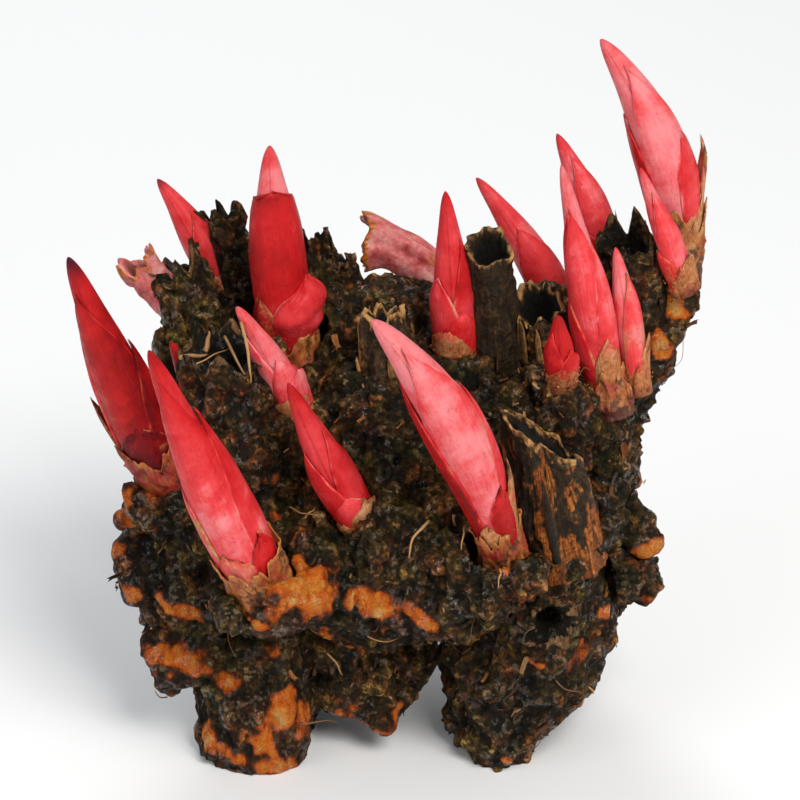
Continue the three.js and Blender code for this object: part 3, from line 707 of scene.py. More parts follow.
def vectors_of(items, key):
    """The vectors of a mesh's items as an array."""
    values = np.zeros(len(items) * 3, np.float32)
    items.foreach_get(key, values)
    return values.reshape(-1, 3).astype(float)


# The photograph's view, for what is placed by a pixel

def view_ray(across, down):
    """Where the camera stands and the way from it through a pixel, in metres."""
    tilt = math.radians(VIEW_DOWN)
    forward = np.array([0, math.cos(tilt), -math.sin(tilt)])
    upward = np.array([0, math.sin(tilt), math.cos(tilt)])
    start = VIEW_TARGET - VIEW_DISTANCE * forward
    pixel = VIEW_WIDTH / IMAGE_SIDE
    half = IMAGE_SIDE / 2
    way = forward * VIEW_DISTANCE + upward * (half - down) * pixel
    way[0] += (across - half) * pixel
    return Vector(start * MM), Vector(unit(way))


def trees_of(objects):
    """A search tree for each object's faces."""
    graph = bpy.context.evaluated_depsgraph_get()
    return [BVHTree.FromObject(o, graph) for o in objects]


def seen_at(trees, across, down, reach=0):
    """The first point and normal that the camera sees at a pixel, in the drawing's place. A
    pixel just off the outline moves towards the middle of the picture until it is on it. With
    a reach in pixels it is the nearest of the points round it, as where a straw rests on a rim."""
    middle = IMAGE_SIDE / 2
    steps = (-reach, 0, reach) if reach else (0,)
    around = [(aside, below) for aside in steps for below in steps]
    for inwards in np.linspace(0, 0.3, 31):
        hits = []
        for aside, below in around:
            x, y = across + aside, down + below
            start, way = view_ray(x + (middle - x) * inwards, y + (middle - y) * inwards)
            hits += [hit for hit in (tree.ray_cast(start, way) for tree in trees) if hit[0]]
        if hits:
            place, normal, _, _ = min(hits, key=lambda hit: hit[3])
            return np.array(place) / MM - BASE_SHIFT, np.array(normal)
    raise RuntimeError(f"nothing is seen at pixel {across}, {down}")


# Buds

def bud_radius(bud, t):
    """From foot to belly the radius rises as a sine, and from belly to tip it falls as a power
    whose end is rounded off."""
    rise = bud.foot + (1 - bud.foot) * np.sin(np.clip(t / bud.belly, 0, 1) * math.pi / 2)
    share = np.clip((t - bud.belly) / (1 - bud.belly), 0, 1)
    fall = (1 - share**bud.point) ** (1 - bud.blunt * smooth(share, 0.55, 1.0))
    return bud.radius * np.where(t <= bud.belly, rise, fall)


def bud_look(bud, t, edge, points, tone, dry):
    """Tone, dryness and darkness: paler at mid height, with painted light along the middle of a
    scale and painted shade deeper towards its thin pale margin, dry at the margin and foot,
    dark at the bud's tip with painted shade at its very foot, broken up by noise."""
    patches = lumps(points, 4.5, bud.seed + 40)
    flecks = lumps(points, 1.4, bud.seed + 50)
    height = smooth(t, 0.0, 0.35) - 0.5 * smooth(t, 0.75, 1.0)
    # Painted light along the middle of a scale and painted shade deeper towards its sides, then a
    # real pale margin
    across = 0.06 - 0.2 * edge**2 + 0.42 * smooth(edge + 0.06 * flecks, 0.92, 0.99)
    shade = tone - 0.1 + 0.14 * height + 0.12 * patches + 0.06 * flecks + across
    blotches = smooth(lumps(points, 2.2, bud.seed + 60), 0.2, 0.5) * smooth(t, 0.65, 0.4)
    shade = shade + bud.blotch * blotches + bud.slope * (0.55 - t)
    rim = smooth(edge + 0.12 * flecks, 0.95, 1.0) * dry * 1.8
    worn = smooth(patches + 0.6 * flecks, 0.25, 0.8) * bud.mottle * smooth(t, 0.75, 0.3)
    foot = smooth(t + 0.1 * patches + 0.04 * flecks, 0.11, -0.02) * 0.8
    parched = np.clip(dry * (0.75 + 0.5 * patches) * (dry > 0.4) + rim + worn + foot, 0, 1)
    tip_burn_and_foot_shade = bud.tip_dark * smooth(t + 0.04 * patches + 0.02 * flecks, 0.86, 1.0)
    # Painted shade: near-black at the very foot, where the bud sinks into the crown
    tip_burn_and_foot_shade = tip_burn_and_foot_shade + 0.55 * smooth(t + 0.03 * flecks, 0.035, -0.04)
    return stacked(np.clip(shade, 0, 1), parched, np.clip(tip_burn_and_foot_shade, 0, 1))


def bud_grain(bud, axis, t, angle, number):
    """The grain of a part of the bud, which the number sets apart."""
    return grain_of(axis, t, angle, bud.radius, bud.seed * 31.0 + number * 7)


def add_to_bud(surface, bud, axis, shape, number, tone, dry):
    """Adds rings with the bud's grain and look."""
    rings, t, angle, edge = shape
    grain = bud_grain(bud, axis, t, angle, number)
    surface.rings(rings, grain, bud_look(bud, t, edge, rings, tone, dry))


def bud_core(surface, bud, axis):
    """The shoot inside the scales: bud_radius turned on the axis, with faint long swells."""
    share = np.linspace(0, 1, CORE_ROWS)[:, None]
    t = -0.08 + 1.076 * (1 - (1 - share) ** 1.25)
    angle = angles_round(CORE_COLUMNS)
    swell = 1 + 0.03 * ring_noise(angle, t * 4, 0.6, bud.seed)
    rings = axis.at(t, angle, bud_radius(bud, t) * swell)
    tone = bud.tone if bud.core is None else bud.core
    add_to_bud(surface, bud, axis, (rings, t, angle, np.zeros_like(t + angle)), 0, tone, 0.1)


def shell_of(axis, radius_of, leaf, step, sink, seed, rows, columns):
    """A thin leaf on a turned body. Its half width is a share of a turn that closes by a power.
    Its outer side stands a step and a crown off the body, and its inner side is sunk in it.
    Towards its end it thins and lifts off, and it may swell by a sine in between. Returns its
    rings, and the share of the axis, the angle and the nearness to the edge for each point."""
    share = np.linspace(0, 1, rows)[:, None] ** 0.9
    across = np.sin(np.linspace(-1, 1, columns)[None, :] * math.pi / 2)
    outer = np.concatenate([across, across[:, ::-1]], axis=1)
    side = np.concatenate([np.ones_like(across), -np.ones_like(across)], axis=1)
    closing = 1 - share**leaf.close
    half = leaf.half_width * (closing + 0.012) * (1 + 0.05 * ring_noise(0, share * 9, 1, seed))
    angle = np.radians(leaf.facing + half * outer)
    coarse = lumps(stacked(outer * 5, 0, seed), 1.0, seed)
    fine = lumps(stacked(outer * 14, 3, seed), 1.0, seed + 1)
    wave = lumps(stacked(outer * 2, share * 6, seed), 1.0, seed + 5)
    ragged = leaf.torn * (coarse + 0.6 * fine)
    t = leaf.start + (leaf.reach * (1 + ragged * share**2) - leaf.start) * share
    lens = np.sqrt(np.clip(1 - outer**2, 0, 1))
    thin = 1 - share**SCALE_THIN
    free = smooth(share, 0.6, 0.97)
    top = (step + SCALE_CROWN * lens) * thin + 0.1
    bottom = (step - sink * lens) * thin * (1 - free) + (top - 0.2) * free
    radius = radius_of(t) + np.where(side > 0, top, bottom)
    radius = radius + leaf.lift * share**4 + 0.1 * wave * share
    radius = radius + leaf.swell * np.sin(math.pi * share**1.5) * lens * (0.9 + 0.25 * wave)
    edge = np.maximum(np.abs(outer) + 0 * share, smooth(share, 0.9, 1.0))
    return axis.at(t, angle, radius), t, angle, edge


def bud_scale(surface, bud, axis, leaf, layer):
    """A scale of a bud, each layer a little further out than the one below. The larger it is,
    the more rows and columns it has."""
    out = layer * SCALE_LAYER
    length = (leaf.reach - leaf.start) * axis.length
    width = math.radians(2 * leaf.half_width) * bud.radius
    shape = shell_of(
        axis, lambda t: bud_radius(bud, t), leaf, SCALE_STEP + out, SCALE_SINK + out,
        seed=int(bud.seed * 10 + layer * 3),
        rows=int(np.clip(2.2 * length, 14, 40)),
        columns=int(np.clip(1.5 * width, 12, 18)),
    )
    add_to_bud(surface, bud, axis, shape, layer + 1, bud.tone + leaf.tone, leaf.dry)


def collar(surface, bud, axis):
    """Short dry torn scales round the foot of a bud, and crumbs of soil on them."""
    draw = np.random.default_rng(bud.seed + 70)
    for number in range(COLLAR_SCALES):
        facing = 360 / COLLAR_SCALES * number + draw.uniform(-20, 20)
        reach = draw.uniform(0.02, 0.17) * (0.7 + 12 / axis.length)
        leaf = Scale(
            facing, reach, draw.uniform(28, 46), draw.uniform(0.2, 1.0), 4,
            tone=draw.uniform(-0.3, 0.1), dry=draw.uniform(0.2, 0.75), torn=0.14,
            start=-1.6 / axis.length,
        )
        bud_scale(surface, bud, axis, leaf, 1.6)
    angle = draw.uniform(0, 2 * math.pi, COLLAR_CRUMBS)
    t = -0.02 + 2.6 * draw.random(COLLAR_CRUMBS) ** 1.4 / axis.length
    places = axis.at(t, angle, bud_radius(bud, t) + draw.uniform(0.7, 1.5, COLLAR_CRUMBS))
    outward = unit(places - axis.at(t, 0.0, 0.0))
    sizes = 0.14 + 0.32 * draw.random(COLLAR_CRUMBS) ** 2
    add_crumbs(surface, places, outward, sizes, draw, dry=0.8)


def make_bud(name, bud, material):
    """A core, its scales from the innermost out, and a dry collar round its foot."""
    axis = Axis(bud)
    surface = Surface()
    bud_core(surface, bud, axis)
    for layer, leaf in enumerate(bud.scales):
        bud_scale(surface, bud, axis, leaf, min(layer, 2) + 0.25 * max(layer - 2, 0))
    collar(surface, bud, axis)
    piece = surface.object(name + "_shoot", material)
    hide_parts(name)


# Husks

def husk_radius(bud, t):
    """How far the bud and the first of its scales reach round the axis at t."""
    reach = np.zeros_like(t)
    for layer, leaf in enumerate(bud.scales[:3]):
        stands = SCALE_STEP + layer * SCALE_LAYER + SCALE_CROWN
        reach = np.maximum(reach, np.where(t > leaf.reach + 0.04, 0, stands))
    return bud_radius(bud, t) + reach


def make_husk(name, husk, material):
    """A torn cup: up its wrinkled outside to an uneven rim and down its inside, close to it."""
    bud = BUDS[husk.bud]
    axis = Axis(bud)
    seed = husk.seed
    angle = angles_round(HUSK_COLUMNS)
    up = np.linspace(0, 1, HUSK_ROWS_UP)[:, None]
    down = np.linspace(1, 0.1, HUSK_ROWS_DOWN)[:, None]
    share = np.concatenate([up, down])
    inside = np.concatenate([np.zeros_like(up), np.ones_like(down)])
    slow = wander(np.cos(angle) * 1.6, np.sin(angle) * 1.6, seed, seed)
    quick = 0.7 * ring_noise(angle, 0, 0.3, seed) + 0.5 * ring_noise(angle, 0, 0.12, seed + 1)
    rim = husk.rim + husk.tear * slow + husk.tear * quick
    bottom = husk.start - 0.05
    t = bottom + (rim - bottom) * share
    wrinkles = ring_noise(angle + share * 0.6, t * 3, 0.16, seed + 2)
    creases = np.abs(ring_noise(angle - share * 0.9, t * 5, 0.34, seed + 3))
    fine = ring_noise(angle + share * 0.3, t * 7, 0.07, seed + 4)
    hug = smooth(share, 0.3, 1.0)
    outside = (husk_radius(bud, t) + SEAM) * ROOM_ROUND + HUSK_WALL - hug
    outside = outside + 0.45 * wrinkles - 0.8 * creases + 0.2 * fine + 0.3
    lips = 0.3 + 0.9 * ring_noise(angle, 0, 0.3, seed + 6)
    flare = husk.flare * lips * smooth(share, 0.75, 1.0)
    rings = axis.at(t, angle, outside + flare - inside * (0.22 + 0.5 * (1 - share)))
    tone = husk.tone + 0.2 * lumps(rings, 3.0, seed) + 0.1 * lumps(rings, 1.2, seed + 9)
    # Painted shade: low in the creases and towards the foot of the cup, inside and out
    hollow = 0.5 - creases - 0.9 * smooth(share + 0.2 * wrinkles, 0.5, 0.05)
    look = stacked(np.clip(tone, 0, 1), smooth(share, 0.82, 1.0), hollow)
    surface = Surface()
    surface.rings(rings, bud_grain(bud, axis, t, angle, 40), look)
    piece = surface.object(name + "_paper", material)
    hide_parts(name)


# Old stems and broken shoots

def stub_wall(stub, t):
    """The radius from foot to rim, by smoothstep."""
    return stub.foot + (stub.radius - stub.foot) * smooth(np.clip(t, 0, 1))


class StubShape:
    """A hollow stub as a grid: its rows run up its outside, over the rim, down its bore and in
    across the bore's floor, and its columns run round it."""

    def __init__(self, stub, flesh):
        self.stub = stub
        self.flesh = flesh
        self.axis = Axis(stub)
        self.angle = angles_round(WIDE_STUB_COLUMNS if stub.radius > WIDE_STUB else STUB_COLUMNS)
        up = np.linspace(-0.25, 1, STUB_ROWS_UP)[:, None]
        down = np.linspace(1, stub.floor, STUB_ROWS_DOWN)[1:, None]
        across = np.linspace(1, 0.12, STUB_ROWS_ACROSS)[:, None]
        self.t = np.concatenate([up, down, np.full_like(across, stub.floor)])
        self.inward = np.concatenate([np.zeros_like(up), np.zeros_like(down), across])
        row = np.arange(len(self.t))[:, None]
        self.on_skin = row < len(up)
        self.on_floor = row >= len(up) + len(down)
        self.fibres = self.noise(self.t * 1.5, 0.14, 0) + 0.6 * self.noise(self.t * 5, 0.07, 1)
        _, self.nodules = bark_relief(self.axis.at(self.t, self.angle, stub_wall(stub, self.t)))

    def noise(self, along, size, number):
        """Noise that closes round the stub, another one for each number."""
        return ring_noise(self.angle, along, size, self.stub.seed + number)

    def spread(self):
        """How far each point stands off the axis. Outside there are ribs, fibres, knobs and on
        a rough stub nodules. The bore narrows downwards, and the lip is thin and curls."""
        stub, t, angle = self.stub, self.t, self.angle
        ribs = (np.sin(4 * angle + stub.seed) + 0.6 * np.sin(7 * angle - stub.seed)) / 1.6
        coarse = self.noise(t * 5, 0.35, 2) + 0.5 * self.noise(t * 9, 0.16, 9)
        smoothed = (1 - 0.75 * self.flesh) * (1 - 0.7 * stub.rough)
        outside = stub_wall(stub, t) * (1 + STEM_RIBS * stub.ribs * ribs)
        outside = outside + (0.34 * self.fibres + 0.35 * coarse) * smoothed
        outside = outside + 0.8 * stub.rough * self.nodules
        outside = outside + stub.knobs * self.noise(t * 1.3, 0.32, 7)
        bore = stub.radius - stub.thickness
        inside = bore * (0.7 + 0.3 * smooth(t, stub.floor, 1.0)) + 0.16 * self.fibres
        near_rim = smooth(t, 0.8, 1.0)
        lip = RIM_WALL * (1 + 0.9 * self.noise(0, 0.3, 11))
        inside = inside + (outside - inside - lip) * near_rim
        curl = 0.9 * self.noise(0, 0.5, 5) * near_rim
        wall = np.where(self.on_skin, outside + curl, inside + curl)
        wall = wall + stub.flare * smooth(t, 0.7, 1.0)
        spread = np.where(self.on_floor, bore * 0.7 * self.inward, wall)
        return spread * (1 - stub.flat * np.cos(angle) ** 2 * smooth(t, 0.1, 0.8))

    def rise(self):
        """How far each point is raised, as a share of the axis: slow waves as the solid has, a
        slant and torn teeth towards the rim, and the slant on the bore's floor."""
        stub, angle = self.stub, self.angle
        torn = stub.tear * wander(np.cos(angle) * 2.6, np.sin(angle) * 2.6, stub.seed, stub.seed)
        slant = stub.slant * np.cos(angle - math.radians(stub.slant_to))
        broken = self.noise(0, 0.62, 3) - 0.1
        ragged = 0.3 * self.noise(0, 0.2, 4) + 0.16 * self.noise(0, 0.07, 0)
        teeth = stub.teeth * (broken + ragged) / self.axis.length
        rise = (torn + slant) * smooth(self.t, 0.55, 1.0) + teeth * smooth(self.t, 0.8, 1.0)
        plug = slant * self.inward + 0.02 * self.noise(self.inward * 3, 0.2, 6)
        return np.where(self.on_floor, plug, rise)

    def look(self, points):
        """Tone, bare bark and painted shade, or on a rough stub the bark's level with painted shade
        in its creases and bore, bare bark and torn wood: a pale frayed band at the rim, patches of
        bark and painted shade that darkens down the bore."""
        stub, t, fibres = self.stub, self.t, self.fibres
        frayed = (0.05 * fibres + 0.04 * self.noise(0, 0.3, 6)) * (1 - stub.band) / 0.07
        rim = smooth(t + frayed, stub.band, 1.0) * ~self.on_floor
        # Painted shade: darker down the bore and near-black on its floor
        dark = np.where(self.on_skin, 0, 0.1 + 0.9 * smooth(t, 1.0, 0.86))
        patch = lumps(points * np.array([1, 1, 0.2]), 2.2, stub.seed + 8)
        patch = patch + 0.8 * fibres + 0.9 * (0.4 - t)
        bark = stub.bark * smooth(patch + stub.bark, 0.4, 1.0) * self.on_skin * (1 - rim)
        if self.flesh:
            bark = np.clip(bark + rim * self.on_skin + smooth(t, 0.25, 0.0), 0, 1)
        if stub.rough:
            # Painted shade in the nodules' creases and down the bore
            level = np.clip(0.48 + 0.3 * self.nodules, 0, 1) * (1 - dark)
            return stacked(level, bark, rim * (0.3 + 0.35 * stub.pale + 0.5 * fibres))
        pale = stub.pale * np.clip(0.55 + 0.5 * fibres, 0, 1)
        return stacked(np.clip(0.3 * pale + rim * (0.25 + pale), 0, 1), bark, dark)


def add_strips(surface, stub, axis):
    """Torn strips of old skin on the outside of a stub, which lift off at their ends."""
    draw = np.random.default_rng(stub.seed + 90)
    for number in range(stub.strips):
        strip = Scale(
            draw.uniform(0, 360), draw.uniform(0.45, 1.08), draw.uniform(5, 16) * 4 / stub.radius,
            draw.uniform(0.2, 1.5), draw.uniform(3, 7), torn=0.1,
        )
        rings, t, angle, edge = shell_of(
            axis, lambda t: stub_wall(stub, t) + 0.1, strip, 0.15, 0.6,
            seed=stub.seed + number, rows=STRIP_ROWS, columns=STRIP_COLUMNS,
        )
        tone = draw.uniform(0.0, 0.55) + 0.25 * edge**6
        grain = grain_of(axis, t, angle, stub.radius, number * 5.0)
        surface.rings(rings, grain, stacked(tone, 0.0, 0.3 * stub.rough))


def make_stub(name, stub, material, flesh=False):
    """A hollow stub with its torn strips."""
    shape = StubShape(stub, flesh)
    axis, t, angle = shape.axis, shape.t, shape.angle
    rings = axis.at(t + shape.rise(), angle, shape.spread())
    surface = Surface()
    grain = grain_of(axis, t, angle, stub.radius, stub.seed * 17.0)
    surface.rings(rings, grain, shape.look(rings))
    add_strips(surface, stub, axis)
    piece = surface.object(name + "_stub", material)
    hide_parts(name)


# Crown and roots

def fine_mesh(node, voxel):
    """The node's solid as an even fine mesh: doubles merged, remeshed by voxels, smoothed."""
    mesh = frame["nodes"][node].data.copy()
    work = bmesh.new()
    work.from_mesh(mesh)
    bmesh.ops.remove_doubles(work, verts=work.verts, dist=1e-6)
    work.to_mesh(mesh)
    work.free()
    carrier = bpy.data.objects.new("carrier", mesh)
    bpy.context.scene.collection.objects.link(carrier)
    remesh = carrier.modifiers.new("remesh", "REMESH")
    remesh.mode = "VOXEL"
    remesh.voxel_size = voxel * MM
    relax = carrier.modifiers.new("relax", "SMOOTH")
    relax.factor = 0.5
    relax.iterations = 5
    graph = bpy.context.evaluated_depsgraph_get()
    fine = bpy.data.meshes.new_from_object(carrier.evaluated_get(graph))
    bpy.data.objects.remove(carrier)
    return fine


def bark_relief(places):
    """Large and fine height of the bark. Large: slow swells and rounded knobs with creases
    between, whose cells are warped by noise. Fine: nodules of two sizes in the same way, which
    fade in some stretches, upright fibres where noise crosses zero, and grit."""
    points = places.reshape(-1, 3)
    warp = np.stack([lumps(points, 6.0, seed) for seed in (11, 12, 13)], axis=-1)
    knobs = 0.5 - nearest_cell(points + 2.6 * warp, KNOB_SIZE, 21)
    nodules = 0.5 - nearest_cell(points + 1.5 * warp[:, ::-1], NODULE_SIZE, 31)
    warts = 0.5 - nearest_cell(points + 0.7 * warp, WART_SIZE, 41)
    upright = points * np.array([1.0, 1.0, 0.3]) + 0.6 * warp
    fibres = 0.5 - 1.6 * np.abs(lumps(upright, FIBRE_SIZE, 51))
    grit = lumps(points, GRIT_SIZE, 4)
    rough = 0.6 + 0.7 * smooth(lumps(points, 9.0, 81), -0.5, 0.4)
    large = SWELL_HEIGHT * lumps(points, SWELL_SIZE, 3) + KNOB_HEIGHT * knobs
    fine = rough * (NODULE_HEIGHT * nodules + WART_HEIGHT * warts + GRIT_HEIGHT * grit)
    fine = fine + FIBRE_HEIGHT * fibres
    return large.reshape(places.shape[:-1]), fine.reshape(places.shape[:-1])


def bark_patches(points, spots, wide):
    """How far the bare bark shows, 0 to 1: near each named spot, and in seeded patches. A spot
    is a stroke: what counts is the distance to the line between its ends."""
    ragged = 0.5 * lumps(points, 4.2, 61) + 0.3 * lumps(points, 1.5, 62)
    drawn = points * np.array([1.0, 1.0, 0.6])
    shown = 0.8 * smooth(lumps(drawn, 7.0, 63) + 0.6 * ragged, wide, wide + 0.4)
    for first, last, radius in spots:
        way = last - first
        share = np.clip((points - first) @ way / (way @ way), 0, 1)[:, None]
        distance = np.linalg.norm(points - first - share * way, axis=1) / radius
        shown = np.maximum(shown, smooth(distance + 0.9 * ragged, 1.45, 0.25))
    return shown


def bark_height(node, base, relief, large, fine, shown):
    """How far the bark stands out: its relief, calmer where the bare bark shows, and never
    inwards or far out where a bud, stem or shoot leaves it."""
    calm = 0.5 * lumps(base, 5.0, 71) + 0.25 * lumps(base, 1.8, 72)
    out = relief * (large * (1 - 0.5 * shown) + fine * (1 - 0.45 * shown) + calm * shown)
    out = out + 0.35 * (node == "crown") + 0.4 * shown
    for growth in [*BUDS.values(), *STEMS.values(), *BROKEN_SHOOTS.values()]:
        distance = np.linalg.norm(base - np.array(growth.base, float), axis=1)
        near = smooth(distance, growth.radius + 4.5, growth.radius + 1.5)
        out = out + near * (np.clip(out, 0.35, 1.2) - out)
    return out


def make_bark(node, voxel, relief, spots, wide, material):
    """The node's fine mesh pushed out along its normals by the bark's height, with its flat
    sole kept and its foot drawn in where TAPERS says so."""
    mesh = fine_mesh(node, voxel)
    base = vectors_of(mesh.vertices, "co") / MM - BASE_SHIFT
    normals = vectors_of(mesh.vertex_normals, "vector")
    large, fine = bark_relief(base)
    shown = bark_patches(base, spots, wide)
    out = bark_height(node, base, relief, large, fine, shown)
    sole = smooth(-normals[:, 2], 0.8, 0.95) * smooth(base[:, 2], 1.2, 0.4)
    points = base + normals * (out * (1 - sole))[:, None]
    if node in TAPERS:
        middle, narrowing = TAPERS[node]
        beyond = np.maximum(points[:, 0] - middle, 0)
        points[:, 0] -= narrowing * beyond * smooth(base[:, 2], 14.0, 3.0)
    points[:, 2] = np.maximum(points[:, 2], 0.0)
    # Painted shade: the level is low in the relief's creases, which turn near-black, and high on
    # the nodules' tops, which turn paler
    level = np.clip(0.48 + 0.3 * fine + 0.1 * large, 0, 1)
    mesh.vertices.foreach_set("co", ((points + BASE_SHIFT) * MM).astype(np.float32).ravel())
    mesh.update()
    write_vectors(mesh, "look", stacked(level, shown, sole))
    piece = placed(node + "_bark", mesh, material)
    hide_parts(node)


# Debris

def turned_frames(normals, draw):
    """For each normal a seeded turn: two directions across it and the normal itself."""
    other = unit(draw.normal(size=normals.shape))
    across = unit(np.cross(normals, other))
    return across, np.cross(normals, across), normals


def set_out(places, frames, local):
    """Points given across, along and out of each place's own frame, as points in space."""
    return places[:, None] + sum(way[:, None] * local[..., [i]] for i, way in enumerate(frames))


def crumb_shape():
    """A squashed ball of twenty faces, as twelve points and their triangles."""
    work = bmesh.new()
    bmesh.ops.create_icosphere(work, subdivisions=1, radius=1.0)
    points = np.array([v.co[:] for v in work.verts])
    faces = np.array([[v.index for v in face.verts] for face in work.faces])
    work.free()
    return points, faces


def add_crumbs(surface, places, normals, sizes, draw, dry=0.0):
    """A lumpy crumb at each place, half sunk: a ball whose points are pushed in and out."""
    shape, faces = crumb_shape()
    count = len(places)
    frames = turned_frames(normals, draw)
    stretch = draw.uniform(0.7, 1.4, (count, 1, 2))
    push = draw.uniform(0.7, 1.25, (count, len(shape), 1))
    local = shape[None] * push * sizes[:, None, None]
    local[..., :2] *= stretch
    local[..., 2] *= 0.8
    points = set_out(places, frames, local)
    tone = draw.uniform(0, 1, (count, 1)) * np.ones(len(shape))
    index = faces[None] + (np.arange(count) * len(shape))[:, None, None]
    surface.add(points, 0.0, stacked(tone, dry, 0.0), np.zeros((0, 4), int), index)


def flake_faces():
    """The faces of a plate whose upper points come first: both sides and the walls between."""
    points = FLAKE_ROWS * FLAKE_COLUMNS
    index = np.arange(points).reshape(FLAKE_ROWS, FLAKE_COLUMNS)
    upper = np.stack([index[:-1, :-1], index[:-1, 1:], index[1:, 1:], index[1:, :-1]], -1)
    upper = upper.reshape(-1, 4)
    rim = np.concatenate([index[0, :], index[1:, -1], index[-1, -2::-1], index[-2:0:-1, 0]])
    after = np.roll(rim, -1)
    walls = np.stack([rim, rim + points, after + points, after], axis=-1)
    return np.concatenate([upper, upper[:, ::-1] + points, walls])


def add_flakes(surface, places, normals, sizes, draw):
    """A curled flake of dead bark at each place: a closed thin plate whose middle sinks and
    whose one edge lifts."""
    count = len(places)
    frames = turned_frames(normals, draw)
    across, along = np.linspace(-1, 1, FLAKE_COLUMNS), np.linspace(-1, 1, FLAKE_ROWS)[:, None]
    width = draw.uniform(0.12, 0.42, (count, 1, 1))
    lift = draw.uniform(0.1, 0.8, (count, 1, 1))
    ragged = draw.uniform(0.75, 1.2, (count, FLAKE_ROWS, FLAKE_COLUMNS))
    height = lift * (0.5 + 0.5 * along) ** 2 + 0.25 * across**2
    sides = [
        stacked(across * width * ragged, along * ragged, height + half).reshape(count, -1, 3)
        for half in (FLAKE_THICKNESS / 2, -FLAKE_THICKNESS / 2)
    ]
    points = set_out(places, frames, np.concatenate(sides, axis=1) * sizes[:, None, None])
    steps = points.shape[1]
    tone = draw.uniform(0, 1, (count, 1)) ** 2.2 * np.ones(steps)
    quads = flake_faces()[None] + (np.arange(count) * steps)[:, None, None]
    surface.add(points, 0.0, stacked(tone, 1.0, 0.0), quads, np.zeros((0, 3), int))


def add_threads(surface, paths, radius, tone, sides=6):
    """A tapering tube along each path of points, (threads, steps, 3)."""
    tangent = unit(np.gradient(paths, axis=1))
    across = unit(np.cross(tangent, np.array([0.31, 0.83, 0.46])))
    other = np.cross(tangent, across)
    angle = angles_round(sides)[..., None]
    for number, path in enumerate(paths):
        taper = radius[number] * (1 - 0.6 * np.linspace(0, 1, len(path)) ** 2)[:, None, None]
        out = across[number][:, None] * np.cos(angle) + other[number][:, None] * np.sin(angle)
        surface.rings(path[:, None] + out * taper, 0.0, np.array([tone[number], 0.0, 1.0]))


# Materials

